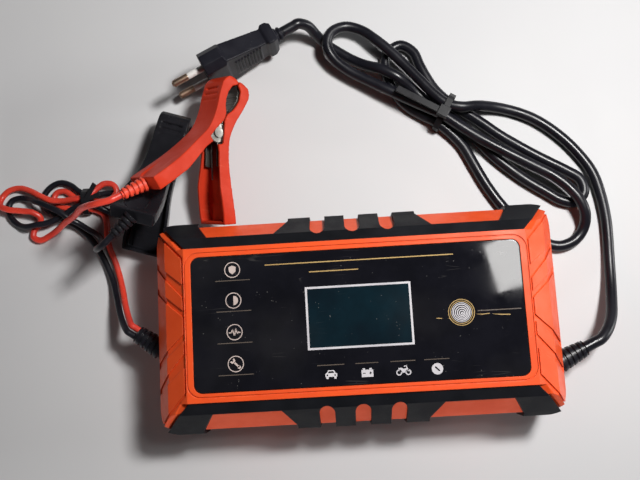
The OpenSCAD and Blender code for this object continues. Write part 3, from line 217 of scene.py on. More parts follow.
# %% How each clamp lies
clamp_place = {"red": Vector((-71.9, 102.8, 29.9)), "black": Vector((-101.7, 89, 18.1))}
clamp_turns = {"red": (46.5, 7, 69), "black": (94.5, 15.5, 74)}
clamp_bend = {"red": (-10, 17), "black": (48, 30)}
handle_l, handle_turn, relief_l = 49, 28, 13
tail_turn = math.radians(handle_turn + 2.5)
tail_at = Vector((-handle_l * math.cos(tail_turn), handle_l * math.sin(tail_turn), 0))


def in_clamp(which, point):
    """A point of a clamp's own frame, rivet at the origin and jaws toward +X, in the object's frame."""
    return clamp_place[which] + turned(point, clamp_turns[which])


def relief_way(which):
    droop, sway = clamp_bend[which]
    around, across = math.radians(180 - handle_turn + droop), math.radians(sway)
    way = (math.cos(across) * math.cos(around), math.cos(across) * math.sin(around), -math.sin(across))
    return Vector(way)


def relief_tip(which):
    return in_clamp(which, tail_at + relief_l * relief_way(which))


# %% Lead routes
lead_d = 3.4
dc_way = Vector((-heading(35).x, heading(35).y, 0))
dc_gland_end = Vector((-103.5, -10, 21.2)) + 14.5 * dc_way
twin_side = Vector((dc_way.y, -dc_way.x, 0))
red_route = [
    (-121.6, 7.2, 16.8), (-124.7, 14.3, 11.6), (-127.2, 22, 6.6), (-129.7, 30.3, 3.2),
    (-132.6, 39.5, 1.9), (-135.8, 48.3, 1.9), (-137.2, 55.5, 1.9), (-137.3, 62, 1.9),
    (-138.8, 67.6, 1.9), (-143, 70.4, 2.4), (-148, 71.1, 2.9), (-153.5, 71.3, 2.3),
    (-159, 72.4, 1.9), (-164.2, 74.2, 1.9), (-167.3, 77.8, 1.9), (-165.8, 81.7, 1.9),
    (-161, 82.4, 1.9), (-156.2, 79, 2.1), (-152.6, 76.2, 2.6), (-148, 75.3, 2.9),
    (-143.3, 75.2, 3), (-138, 74.9, 4.4), (-133.2, 75.8, 5.8), (-130.3, 79.5, 5.9),
    (-132.2, 83.6, 5.9), (-137, 84.6, 5.9), (-141.6, 81.8, 6.2), (-144.9, 78.6, 6.9),
    (-148.6, 77.2, 7), (-154.5, 76.6, 6.6), (-161, 76.1, 5.9), (-167.5, 76.8, 5.9),
    (-174, 79.9, 5.9), (-180.5, 83.6, 4.2), (-187, 85.7, 2.8), (-193, 84.6, 2.4),
    (-197, 80.6, 2.6), (-197.2, 75.9, 4.7), (-192, 73, 6.1), (-185, 71.9, 5.9),
    (-178.5, 70.6, 5.8), (-174.6, 67.9, 4), (-175.3, 64.2, 2), (-178.4, 61.2, 1.9),
    (-179.1, 57.2, 1.9), (-175.2, 55.1, 1.9), (-168.6, 57.8, 2.6), (-163.2, 60.2, 6),
    (-158.4, 62.2, 10.6), (-153.5, 63.4, 15.6), (-149, 63.6, 22), (-145, 63.4, 29.5),
    (-141, 63, 38), (-136.7, 62.5, 46.5), (-131.3, 62, 54), (-124.8, 62, 58.6),
]
black_route = [
    (-124.7, 4.6, 16.6), (-128.2, 12.3, 11.6), (-131, 20.2, 6.6), (-133.7, 28.9, 3.2),
    (-137.5, 38.5, 1.9), (-141.9, 47.3, 1.9), (-147.6, 55.5, 1.9), (-154.5, 61.7, 1.9),
    (-161.5, 66, 1.9), (-168, 70, 1.9), (-172.4, 74.4, 1.9), (-173.2, 79.8, 1.9),
    (-169.4, 85.2, 1.9), (-163.5, 87.6, 1.9), (-157.8, 85.8, 1.9), (-153.1, 82, 2.2),
    (-148, 79.4, 2.9), (-142, 79.3, 2.4), (-135, 80, 1.9), (-128.5, 79.4, 1.9),
    (-124.3, 75.6, 1.9), (-124.8, 70.7, 1.9), (-129, 67.8, 1.9), (-134.2, 68.2, 3.8),
    (-138.7, 70.4, 5.9), (-143, 72.6, 6.5), (-148, 73.3, 7), (-153.5, 72, 6.3),
    (-158.8, 69, 5.9), (-164.2, 66, 5.9), (-170, 63.9, 6.3), (-176, 63.2, 6.5),
    (-182, 62.8, 4.6), (-187.5, 64.6, 1.9), (-191.8, 68.8, 1.9), (-193.4, 74, 1.9),
    (-191.8, 78.5, 1.9), (-187, 80, 2), (-181.4, 78.7, 3.4), (-175, 76, 8),
    (-168.5, 72.9, 9.9), (-161.5, 69.2, 9.9), (-156.5, 65.3, 8.6), (-152, 62.6, 6),
    (-146.5, 58.8, 5.9), (-141, 55.2, 7.5), (-137, 51.4, 12.5), (-134.5, 47.6, 21),
    (-133, 44.4, 31), (-131, 42, 41), (-127, 41.5, 49),
]

# %% The two leads
leads = {}
for which, route, side in (("red", red_route, 1), ("black", black_route, -1)):
    way = turned(relief_way(which), clamp_turns[which])
    start = stub(dc_gland_end + side * 1.95 * twin_side, dc_way, lead_d)
    finish = stub(relief_tip(which), way, lead_d)[::-1]
    line = keep_above_table(smooth_line(start + route + finish), lead_d)
    lead = leads[which] = round_cord(which + "_battery_lead", line, lead_d)
    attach(lead, "charger")
    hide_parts(which + "_lead")
    print(which, "lead, mm:", round(line_length(line), 1))

# %% [markdown]
# ## Floor and light
# A plain pale floor catches the shadows. The main lamp stands above on the right and behind. It makes
# the shadows left of the case and in front of it, and lets the floor fade from bright to grey across
# the view. Beside it stands a very weak one that is there to lie as a pale patch in the glass. Three
# wide suns near the horizon light upright faces and hardly touch the floor, so the shadows stay deep.
# Only the right one shows in reflections.

# %% Floor
floor_mesh = bpy.data.meshes.new("floor")
bm = bmesh.new()
bmesh.ops.create_grid(bm, x_segments=1, y_segments=1, size=3)
bm.to_mesh(floor_mesh)
bm.free()
floor = bpy.data.objects.new("floor", floor_mesh)
bpy.context.scene.collection.objects.link(floor)
print("floor, m:", [round(side, 1) for side in floor.dimensions])

# %% Lamps and fill
def add_lamp(name, place, size, energy):
    data = bpy.data.lights.new(name, "AREA")
    data.shape = "RECTANGLE"
    data.size, data.size_y = size
    data.energy = energy
    data.color = (1.0, 0.985, 0.97)
    lamp = bpy.data.objects.new(name, data)
    lamp.location = place
    aim = Vector((-0.02, 0.03, 0)) - Vector(place)
    lamp.rotation_euler = aim.to_track_quat("-Z", "Y").to_euler()
    bpy.context.scene.collection.objects.link(lamp)


add_lamp("main_lamp", (0.215, 0.172, 0.50), (0.09, 0.09), 3.75)
add_lamp("glass_lamp", (0.221, 0.082, 0.58), (0.06, 0.10), 0.30)
side_suns = (
    ("right_sun", (-1, -0.1, -0.2), 0.9, True), ("front_sun", (0, 1, -0.05), 1.9, False),
    ("left_sun", (1, 0.1, -0.07), 0.5, False),
)
for name, way, strength, in_reflections in side_suns:
    data = bpy.data.lights.new(name, "SUN")
    data.energy = strength
    data.angle = math.radians(12)
    sun = bpy.data.objects.new(name, data)
    sun.rotation_euler = Vector(way).to_track_quat("-Z", "Y").to_euler()
    sun.visible_glossy = in_reflections
    bpy.context.scene.collection.objects.link(sun)
print("two lamps and", len(side_suns), "suns")

# %% [markdown]
# The world gives almost no light. What the camera sees of it is pale, and polished parts see a little
# of that too. Light Path tells the rays apart.

# %% World
def ray_kind(tree, kind):
    return tree.nodes.new("ShaderNodeLightPath").outputs[kind]


world = bpy.data.worlds.new("world")
world.use_nodes = True
sky = world.node_tree
light = sky.nodes["Background"]
light.inputs["Color"].default_value = (0.93, 0.95, 1.0, 1)
strength = None
for kind, amount in (("Is Camera Ray", 0.5), ("Is Glossy Ray", 0.07)):
    part = sky.nodes.new("ShaderNodeMath")
    part.operation = "MULTIPLY_ADD"
    sky.links.new(ray_kind(sky, kind), part.inputs[0])
    part.inputs[1].default_value = amount
    part.inputs[2].default_value = 0.016
    if strength is not None:
        sky.links.new(strength, part.inputs[2])
    strength = part.outputs[0]
sky.links.new(strength, light.inputs["Strength"])
bpy.context.scene.world = world

# %% [markdown]
# ## Shared effects
# Every plastic and metal part shares a few effects: a fine moulded grain, paler worn edges, thin
# scratches and a little settled dust. Each effect is one node group with named inputs, placed in each
# material with its own amounts. The shader itself stays in the material.


# %% A helper that starts a node group
def start_group(name, values, outputs):
    group = bpy.data.node_groups.new(name, "ShaderNodeTree")
    for label, default in values:
        socket = group.interface.new_socket(label, in_out="INPUT", socket_type="NodeSocketFloat")
        socket.default_value = default
    for label, kind in outputs:
        group.interface.new_socket(label, in_out="OUTPUT", socket_type=kind)
    inside = group.nodes.new("NodeGroupInput")
    outside = group.nodes.new("NodeGroupOutput")
    place = group.nodes.new("ShaderNodeTexCoord").outputs["Object"]
    return group, inside, outside, place


def math_node(tree, operation, a, b):
    node = tree.nodes.new("ShaderNodeMath")
    node.operation = operation
    for socket, value in zip(node.inputs, (a, b)):
        if isinstance(value, (int, float)):
            socket.default_value = value
        else:
            tree.links.new(value, socket)
    return node.outputs[0]


def map_range(tree, value, from_low, from_high, to_low=0.0, to_high=1.0):
    node = tree.nodes.new("ShaderNodeMapRange")
    node.interpolation_type = "SMOOTHSTEP"
    tree.links.new(value, node.inputs["Value"])
    for label, number in (("From Min", from_low), ("From Max", from_high), ("To Min", to_low),
                          ("To Max", to_high)):
        if isinstance(number, (int, float)):
            node.inputs[label].default_value = number
        else:
            tree.links.new(number, node.inputs[label])
    return node.outputs["Result"]


def noise(tree, place, scale, detail=2.0, rough=0.5):
    node = tree.nodes.new("ShaderNodeTexNoise")
    tree.links.new(place, node.inputs["Vector"])
    if isinstance(scale, (int, float)):
        node.inputs["Scale"].default_value = scale
    else:
        tree.links.new(scale, node.inputs["Scale"])
    node.inputs["Detail"].default_value = detail
    node.inputs["Roughness"].default_value = rough
    return node.outputs["Fac"]


# %% Moulded grain: a fine height, and a slow mottle for colour and gloss
grain_group, g_in, g_out, g_place = start_group(
    "moulded_grain", [("Grain per metre", 2500.0), ("Mottle per metre", 60.0)],
    [("Height", "NodeSocketFloat"), ("Mottle", "NodeSocketFloat")],
)
fine_grain = noise(grain_group, g_place, g_in.outputs["Grain per metre"], 3.0, 0.6)
slow_mottle = noise(grain_group, g_place, g_in.outputs["Mottle per metre"], 4.0, 0.6)
grain_group.links.new(fine_grain, g_out.inputs["Height"])
grain_group.links.new(map_range(grain_group, slow_mottle, 0.3, 0.7), g_out.inputs["Mottle"])
print("group:", grain_group.name)

# %% [markdown]
# The edge effect compares the true normal with the normal of a slightly rounded surface. They differ
# only near an edge. The rounded normal is also put out, because it softens the edges of small parts
# whose mesh is left sharp.

# %% Soft edges: a rounded normal, and a mask that is broken up like real wear
edge_group, e_in, e_out, e_place = start_group(
    "soft_edges", [("Radius", 0.0005), ("Wear", 0.5)],
    [("Normal", "NodeSocketVector"), ("Worn", "NodeSocketFloat")],
)
rounded = edge_group.nodes.new("ShaderNodeBevel")
rounded.samples = 4
edge_group.links.new(e_in.outputs["Radius"], rounded.inputs["Radius"])
true_normal = edge_group.nodes.new("ShaderNodeNewGeometry").outputs["Normal"]
likeness = edge_group.nodes.new("ShaderNodeVectorMath")
likeness.operation = "DOT_PRODUCT"
edge_group.links.new(rounded.outputs["Normal"], likeness.inputs[0])
edge_group.links.new(true_normal, likeness.inputs[1])
near_edge = map_range(edge_group, likeness.outputs["Value"], 0.99, 0.86)
patchy = map_range(edge_group, noise(edge_group, e_place, 420.0, 4.0, 0.65), 0.42, 0.62)
worn = math_node(edge_group, "MULTIPLY", near_edge, patchy)
worn = math_node(edge_group, "MULTIPLY", worn, e_in.outputs["Wear"])
edge_group.links.new(worn, e_out.inputs["Worn"])
edge_group.links.new(rounded.outputs["Normal"], e_out.inputs["Normal"])
print("group:", edge_group.name)

# %% [markdown]
# A scratch is a thin ridge of a noise that is stretched far along one direction. Three directions are
# enough. Each has its own slow noise, so they seldom cross, and most of the surface has none.

# %% Fine scratches
scratch_group, s_in, s_out, s_place = start_group(
    "fine_scratches", [("Amount", 0.5)], [("Mask", "NodeSocketFloat")]
)
scratch_mask = None
for turn, stretch in ((0.45, (14, 230, 14)), (-0.5, (16, 260, 16)), (1.45, (18, 210, 18))):
    mapping = scratch_group.nodes.new("ShaderNodeMapping")
    mapping.inputs["Rotation"].default_value = (0, 0, turn)
    mapping.inputs["Scale"].default_value = stretch
    scratch_group.links.new(s_place, mapping.inputs["Vector"])
    streak = noise(scratch_group, mapping.outputs["Vector"], 1.0, 1.0, 0.4)
    off_line = math_node(scratch_group, "SUBTRACT", streak, 0.5)
    off_line = math_node(scratch_group, "ABSOLUTE", off_line, 0)
    thin = map_range(scratch_group, off_line, 0.010, 0.002)
    where = map_range(scratch_group, noise(scratch_group, s_place, 44.0 + 23 * turn, 2.0), 0.60, 0.74)
    thin = math_node(scratch_group, "MULTIPLY", thin, where)
    if scratch_mask is not None:
        thin = math_node(scratch_group, "MAXIMUM", scratch_mask, thin)
    scratch_mask = thin
scratch_mask = math_node(scratch_group, "MULTIPLY", scratch_mask, s_in.outputs["Amount"])
scratch_group.links.new(scratch_mask, s_out.inputs["Mask"])
print("group:", scratch_group.name)

# %% Settled dust: small soft specks, more of them in drifts
dust_group, d_in, d_out, d_place = start_group(
    "settled_dust", [("Amount", 0.5)], [("Mask", "NodeSocketFloat")]
)
cells = dust_group.nodes.new("ShaderNodeTexVoronoi")
cells.inputs["Scale"].default_value = 520
dust_group.links.new(d_place, cells.inputs["Vector"])
speck = map_range(dust_group, cells.outputs["Distance"], 0.16, 0.05)
picked = map_range(dust_group, noise(dust_group, d_place, 190.0, 2.0), 0.56, 0.66)
speck = math_node(dust_group, "MULTIPLY", speck, picked)
drift = map_range(dust_group, noise(dust_group, d_place, 24.0, 3.0), 0.4, 0.75, 0.0, 0.5)
dust = math_node(dust_group, "MAXIMUM", speck, math_node(dust_group, "MULTIPLY", drift, 0.12))
dust = math_node(dust_group, "MULTIPLY", dust, d_in.outputs["Amount"])
dust_group.links.new(dust, d_out.inputs["Mask"])
print("group:", dust_group.name)

# %% [markdown]
# ## Finishes
# One helper builds a finish from the shared effects. A finish has a colour and a second colour for the
# mottle, a gloss range, a grain, and its own share of wear, scratches and dust.


# %% A helper that places a group in a material
def place_group(tree, group, **values):
    node = tree.nodes.new("ShaderNodeGroup")
    node.node_tree = group
    for label, value in values.items():
        node.inputs[label.replace("_", " ")].default_value = value
    return node


def mix_colour(tree, amount, a, b):
    node = tree.nodes.new("ShaderNodeMix")
    node.data_type = "RGBA"
    if isinstance(amount, (int, float)):
        node.inputs["Factor"].default_value = amount
    else:
        tree.links.new(amount, node.inputs["Factor"])
    for socket, value in ((node.inputs[6], a), (node.inputs[7], b)):
        if isinstance(value, tuple):
            socket.default_value = (*value, 1)
        else:
            tree.links.new(value, socket)
    return node.outputs[2]


# %% A helper that makes a finish
def make_finish(name, colour, mottle, gloss=(0.35, 0.5), metallic=0.0, grain=2500.0, depth=0.00002,
                edge=0.0005, worn=None, wear=0.4, scratches=0.3, dust=0.3, coat=0.0, shine=0.5,
                pattern=None):
    """gloss is the least and greatest roughness; pattern may repaint the colour and add a height."""
    material = bpy.data.materials.new(name)
    material.use_nodes = True
    tree = material.node_tree
    shader = tree.nodes["Principled BSDF"]
    shader.inputs["Metallic"].default_value = metallic
    shader.inputs["Coat Weight"].default_value = coat
    shader.inputs["Coat Roughness"].default_value = 0.08
    shader.inputs["Specular IOR Level"].default_value = shine
    grains = place_group(tree, grain_group, Grain_per_metre=grain)
    edges = place_group(tree, edge_group, Radius=edge, Wear=wear)
    marks = place_group(tree, scratch_group, Amount=scratches)
    specks = place_group(tree, dust_group, Amount=dust)
    paint = mix_colour(tree, grains.outputs["Mottle"], colour, mottle)
    height = grains.outputs["Height"]
    if pattern:
        paint, height = pattern(tree, paint, height)
    paler = worn or tuple(min(1.0, c * 1.5 + 0.06) for c in colour)
    paint = mix_colour(tree, edges.outputs["Worn"], paint, paler)
    paint = mix_colour(tree, marks.outputs["Mask"], paint, paler)
    paint = mix_colour(tree, specks.outputs["Mask"], paint, (0.55, 0.53, 0.5))
    tree.links.new(paint, shader.inputs["Base Color"])
    rough = map_range(tree, grains.outputs["Mottle"], 0.0, 1.0, gloss[0], gloss[1])
    rough = math_node(tree, "ADD", rough, math_node(tree, "MULTIPLY", specks.outputs["Mask"], 0.4))
    tree.links.new(rough, shader.inputs["Roughness"])
    bump = tree.nodes.new("ShaderNodeBump")
    bump.inputs["Distance"].default_value = depth
    bump.inputs["Strength"].default_value = 1.0
    tree.links.new(height, bump.inputs["Height"])
    tree.links.new(edges.outputs["Normal"], bump.inputs["Normal"])
    tree.links.new(bump.outputs["Normal"], shader.inputs["Normal"])
    return material


def place_of(tree, scale=(1, 1, 1), turn=(0, 0, 0)):
    """Object coordinates through a Mapping node."""
    mapping = tree.nodes.new("ShaderNodeMapping")
    mapping.inputs["Scale"].default_value = scale
    mapping.inputs["Rotation"].default_value = turn
    tree.links.new(tree.nodes.new("ShaderNodeTexCoord").outputs["Object"], mapping.inputs["Vector"])
    return mapping.outputs["Vector"]


# %% [markdown]
# ### Patterns
# Some finishes have a drawing of their own: tracks and solder on a board, layers of winding tape,
# lines of enamelled wire, fine lines along a heatsink. A pattern takes the colour and the height so
# far and gives both back.


# %% Circuit board: square tracks and round solder pads
def board_pattern(tree, paint, height):
    place = place_of(tree, (260, 260, 260))
    tracks = tree.nodes.new("ShaderNodeTexVoronoi")
    tracks.distance = "CHEBYCHEV"
    tree.links.new(place, tracks.inputs["Vector"])
    tracks.inputs["Scale"].default_value = 1.0
    copper = map_range(tree, tracks.outputs["Distance"], 0.44, 0.47)
    paint = mix_colour(tree, math_node(tree, "MULTIPLY", copper, 0.55), paint, (0.10, 0.42, 0.22))
    pads = tree.nodes.new("ShaderNodeTexVoronoi")
    tree.links.new(place, pads.inputs["Vector"])
    pads.inputs["Scale"].default_value = 0.9
    solder = map_range(tree, pads.outputs["Distance"], 0.13, 0.10)
    paint = mix_colour(tree, solder, paint, (0.62, 0.62, 0.6))
    return paint, math_node(tree, "ADD", height, math_node(tree, "MULTIPLY", solder, 3.0))


# %% Wound wire: close lines across one direction
def wound_pattern(turn, per_metre, dark):
    def pattern(tree, paint, height):
        waves = tree.nodes.new("ShaderNodeTexWave")
        waves.bands_direction = "X"
        waves.inputs["Scale"].default_value = per_metre / 20
        waves.inputs["Distortion"].default_value = 0.4
        tree.links.new(place_of(tree, (1, 1, 1), turn), waves.inputs["Vector"])
        between = map_range(tree, waves.outputs["Fac"], 0.35, 0.05)
        paint = mix_colour(tree, between, paint, dark)
        relief = math_node(tree, "MULTIPLY", waves.outputs["Fac"], 4.0)
        return paint, math_node(tree, "ADD", height, relief)
    return pattern


# %% [markdown]
# ### The list of finishes
# Colours are linear values. The case is a warm orange-red with a satin moulded skin. The bumpers are
# black rubber. One clamp's covers are a deeper red and the other's are black. The cord and the leads
# are smoother and glossier.

# %% Finishes of the case
finish = {}
finish["case_orange"] = make_finish(
    "case_orange", (0.78, 0.088, 0.019), (0.71, 0.072, 0.015), gloss=(0.30, 0.42), depth=0.00003,
    worn=(0.80, 0.26, 0.13), wear=0.35, scratches=0.2, dust=0.12, shine=0.15,
)
finish["bumper_rubber"] = make_finish(
    "bumper_rubber", (0.006, 0.0065, 0.008), (0.009, 0.0095, 0.012), gloss=(0.38, 0.52), grain=1800.0,
    depth=0.00006, worn=(0.05, 0.05, 0.055), wear=0.4, scratches=0.15, dust=0.04, shine=0.08,
)
finish["foot_rubber"] = make_finish(
    "foot_rubber", (0.03, 0.03, 0.03), (0.045, 0.045, 0.045), gloss=(0.6, 0.75), depth=0.00005,
)
finish["panel_black"] = make_finish(
    "panel_black", (0.003, 0.003, 0.005), (0.005, 0.005, 0.008), gloss=(0.02, 0.06), grain=300.0,
    depth=0.0, worn=(0.10, 0.095, 0.09), wear=0.3, scratches=0.25, dust=0.2, shine=0.45,
)
print(len(finish), "finishes")

# %% Finishes of the leads, the plug and the clamps
finish["cord_rubber"] = make_finish(
    "cord_rubber", (0.005, 0.005, 0.008), (0.008, 0.008, 0.012), gloss=(0.27, 0.38), grain=900.0,
    depth=0.00002, wear=0.0, scratches=0.15, dust=0.06, edge=0.0003, shine=0.35,
)
finish["lead_red"] = make_finish(
    "lead_red", (0.66, 0.052, 0.028), (0.54, 0.034, 0.022), gloss=(0.25, 0.40), grain=900.0,
    depth=0.00002, wear=0.0, scratches=0.1, dust=0.2, edge=0.0003,
)
finish["tie_black"] = make_finish(
    "tie_black", (0.008, 0.008, 0.010), (0.012, 0.012, 0.014), gloss=(0.3, 0.45), grain=1500.0,
    worn=(0.04, 0.04, 0.045), dust=0.05, shine=0.15,
)
finish["plug_black"] = make_finish(
    "plug_black", (0.009, 0.009, 0.013), (0.013, 0.013, 0.018), gloss=(0.28, 0.40), depth=0.00003,
    worn=(0.05, 0.05, 0.055), wear=0.35, dust=0.06, shine=0.12,
)
finish["pin_brass"] = make_finish(
    "pin_brass", (0.50, 0.36, 0.26), (0.36, 0.24, 0.17), gloss=(0.25, 0.45), metallic=1.0, grain=900.0,
    worn=(0.75, 0.66, 0.55), scratches=0.7, dust=0.1,
)
# The pin sleeves get a pale colour: a painted reflection, standing in for the bright light that black
# sleeves mirror.
finish["sleeve_white"] = make_finish(
    "sleeve_white", (0.72, 0.70, 0.67), (0.62, 0.60, 0.57), gloss=(0.35, 0.5), dust=0.2,
)
finish["clamp_red"] = make_finish(
    "clamp_red", (0.50, 0.036, 0.013), (0.43, 0.028, 0.010), gloss=(0.34, 0.46), depth=0.00003,
    worn=(0.74, 0.20, 0.12), wear=0.4, scratches=0.3, dust=0.06, shine=0.10,
)
finish["clamp_black"] = make_finish(
    "clamp_black", (0.008, 0.008, 0.010), (0.012, 0.012, 0.015), gloss=(0.16, 0.28), depth=0.00002,
    worn=(0.05, 0.05, 0.055), wear=0.45, scratches=0.3, dust=0.05, shine=0.16,
)
finish["relief_red"] = make_finish(
    "relief_red", (0.78, 0.076, 0.034), (0.68, 0.060, 0.028), gloss=(0.35, 0.5), depth=0.00003,
)
finish["relief_black"] = make_finish(
    "relief_black", (0.006, 0.006, 0.008), (0.010, 0.010, 0.013), gloss=(0.32, 0.45), depth=0.00003,
    worn=(0.05, 0.05, 0.055), dust=0.06, shine=0.25,
)
finish["jaw_chrome"] = make_finish(
    "jaw_chrome", (0.25, 0.24, 0.22), (0.15, 0.145, 0.13), gloss=(0.30, 0.48), metallic=1.0, grain=700.0,
    worn=(0.85, 0.84, 0.82), scratches=0.6, dust=0.15, edge=0.0002,
)
finish["spring_steel"] = make_finish(
    "spring_steel", (0.24, 0.23, 0.23), (0.16, 0.14, 0.13), gloss=(0.25, 0.45), metallic=1.0,
    grain=900.0, edge=0.0002,
)
print(len(finish), "finishes")

# %% Finishes inside the case
finish["circuit_board"] = make_finish(
    "circuit_board", (0.012, 0.11, 0.045), (0.010, 0.085, 0.035), gloss=(0.25, 0.4), depth=0.00003,
    worn=(0.55, 0.45, 0.2), pattern=board_pattern,
)
finish["ferrite"] = make_finish(
    "ferrite", (0.045, 0.045, 0.048), (0.075, 0.075, 0.08), gloss=(0.5, 0.7), grain=3500.0,
    depth=0.00006, worn=(0.2, 0.2, 0.2),
)
finish["winding_tape"] = make_finish(
    "winding_tape", (0.78, 0.56, 0.06), (0.68, 0.46, 0.05), gloss=(0.2, 0.35),
    pattern=wound_pattern((0, math.radians(90), 0), 700, (0.42, 0.26, 0.03)),
)
finish["capacitor_can"] = make_finish(
    "capacitor_can", (0.015, 0.02, 0.06), (0.02, 0.026, 0.075), gloss=(0.2, 0.3), worn=(0.6, 0.6, 0.62),
    pattern=wound_pattern((0, 0, 0), 90, (0.35, 0.36, 0.38)),
)
finish["heatsink_metal"] = make_finish(
    "heatsink_metal", (0.62, 0.62, 0.63), (0.5, 0.5, 0.52), gloss=(0.3, 0.45), metallic=1.0,
    grain=1200.0, pattern=wound_pattern((0, math.radians(90), 0), 900, (0.4, 0.4, 0.41)),
)
finish["moulded_black"] = make_finish(
    "moulded_black", (0.016, 0.016, 0.018), (0.026, 0.026, 0.028), gloss=(0.35, 0.5), depth=0.00004,
)
finish["fuse_glass"] = make_finish(
    "fuse_glass", (0.62, 0.64, 0.63), (0.5, 0.52, 0.52), gloss=(0.05, 0.12), coat=0.5, depth=0.0,
)
finish["copper_winding"] = make_finish(
    "copper_winding", (0.50, 0.16, 0.045), (0.40, 0.12, 0.035), gloss=(0.2, 0.35), metallic=0.6,
    pattern=wound_pattern((0, 0, math.radians(35)), 1100, (0.14, 0.04, 0.015)),
)
finish["terminal_green"] = make_finish(
    "terminal_green", (0.03, 0.26, 0.09), (0.025, 0.21, 0.07), gloss=(0.35, 0.5), depth=0.00003,
)
finish["screw_steel"] = make_finish(
    "screw_steel", (0.5, 0.5, 0.5), (0.4, 0.4, 0.41), gloss=(0.2, 0.35), metallic=1.0, grain=900.0,
    scratches=0.6,
)
finish["display"] = make_finish(
    "display", (0.010, 0.045, 0.055), (0.008, 0.036, 0.046), gloss=(0.12, 0.2), depth=0.0,
)
finish["touch_film"] = make_finish(
    "touch_film", (0.50, 0.32, 0.08), (0.42, 0.26, 0.06), gloss=(0.25, 0.35), depth=0.00001,
)
print(len(finish), "finishes")

# %% Each CAD node takes the finish of its own material slot
slot_of = {row["node"]: row["material_slot"] for row in frame["record"]["subparts"]}
for name, node in nodes.items():
    for slot in node.material_slots:
        slot.material = finish[slot_of[name]]
print(len(slot_of), "nodes painted")

# %% The cords take theirs
for cord, name in (
    (mains_cord, "cord_rubber"), (leads["red"], "lead_red"), (leads["black"], "cord_rubber"),
):
    cord.data.materials.append(finish[name])
    print(cord.name, "is", name)


# %% [markdown]
# ### The floor's paint
# The floor is a matt card. A trace of mottle keeps it from looking computed. The lamps are near, so far
# from the object the card would go dark. There it glows a little, for camera rays alone, which keeps
# the ground pale to the horizon and puts no light on the object.

# %% Floor paint
floor_paint = bpy.data.materials.new("floor_paint")
floor_paint.use_nodes = True
floor_tree = floor_paint.node_tree
floor_shader = floor_tree.nodes["Principled BSDF"]
floor_shader.inputs["Roughness"].default_value = 0.55
floor_shader.inputs["Specular IOR Level"].default_value = 0.3
floor_grain = place_group(floor_tree, grain_group, Grain_per_metre=1500.0, Mottle_per_metre=6.0)
floor_tree.links.new(
    mix_colour(floor_tree, floor_grain.outputs["Mottle"], (0.58, 0.58, 0.585), (0.56, 0.56, 0.57)),
    floor_shader.inputs["Base Color"],
)
floor_shader.inputs["Emission Color"].default_value = (0.93, 0.95, 1.0, 1)
how_far = floor_tree.nodes.new("ShaderNodeVectorMath")
how_far.operation = "LENGTH"
floor_tree.links.new(place_of(floor_tree), how_far.inputs[0])
glow = map_range(floor_tree, how_far.outputs["Value"], 0.26, 0.85, 0.0, 0.43)
floor_tree.links.new(
    math_node(floor_tree, "MULTIPLY", glow, ray_kind(floor_tree, "Is Camera Ray")),
    floor_shader.inputs["Emission Strength"],
)
floor.data.materials.append(floor_paint)


# %% [markdown]
# ## Rounded covers for the clamps
# A clamp's cover is moulded with soft edges all round, which matter more on it than on any other
# piece. The copy of the solid is remeshed into small even squares, and a few rounds of smoothing take
# its edges off. Bevels would meet badly where the thumb recess cuts the back. Three plates are added to
# each copy first. Two close the cheeks round the rivet down to a narrow wedge, and one backs the thin
# floor of the thumb recess from inside.


# %% A helper that copies a CAD node's mesh as one closed skin
def merged_copy(name):
    bm = bmesh.new()
    bm.from_mesh(nodes[name].data)
    bm.transform(nodes[name].matrix_world)
    bmesh.ops.remove_doubles(bm, verts=bm.verts, dist=0.000002)
    return bm


def piece_from(bm, name, material, body="charger", smooth=True):
    mesh = bpy.data.meshes.new(name)
    bm.to_mesh(mesh)
    bm.free()
    for face in mesh.polygons:
        face.use_smooth = smooth
    piece = bpy.data.objects.new(name, mesh)
    bpy.context.scene.collection.objects.link(piece)
    mesh.materials.append(material)
    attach(piece, body)
    return piece


# %% A helper that takes the edges off a closed piece
def soften(piece, square, rounds):
    """Remeshes a piece into even squares, smooths it a few times, and keeps the result as its mesh."""
    remesh = piece.modifiers.new("remesh", "REMESH")
    remesh.mode = "VOXEL"
    remesh.voxel_size = square
    remesh.use_smooth_shade = True
    relax = piece.modifiers.new("relax", "SMOOTH")
    relax.factor = 0.5
    relax.iterations = rounds
    seen = piece.evaluated_get(bpy.context.evaluated_depsgraph_get())
    baked = bpy.data.meshes.new_from_object(seen)
    piece.modifiers.clear()
    old = piece.data
    piece.data = baked
    bpy.data.meshes.remove(old)
    print(piece.name, len(baked.polygons), "faces")


# %% A helper that adds a flat plate to a mesh
def add_plate(bm, corners, low, high, place):
    """A closed plate from corners in a plane, between two heights; place moves a point to its spot."""
    base = [bm.verts.new((x, y, low)) for x, y in corners]
    face = bm.faces.new(base)
    raised = bmesh.ops.extrude_face_region(bm, geom=[face], use_keep_orig=True)
    top = [v for v in raised["geom"] if isinstance(v, bmesh.types.BMVert)]
    bmesh.ops.translate(bm, verts=top, vec=(0, 0, high - low))
    around = {f for v in base + top for f in v.link_faces}
    bmesh.ops.recalc_face_normals(bm, faces=list(around))
    for v in base + top:
        v.co = place(v.co) * MM


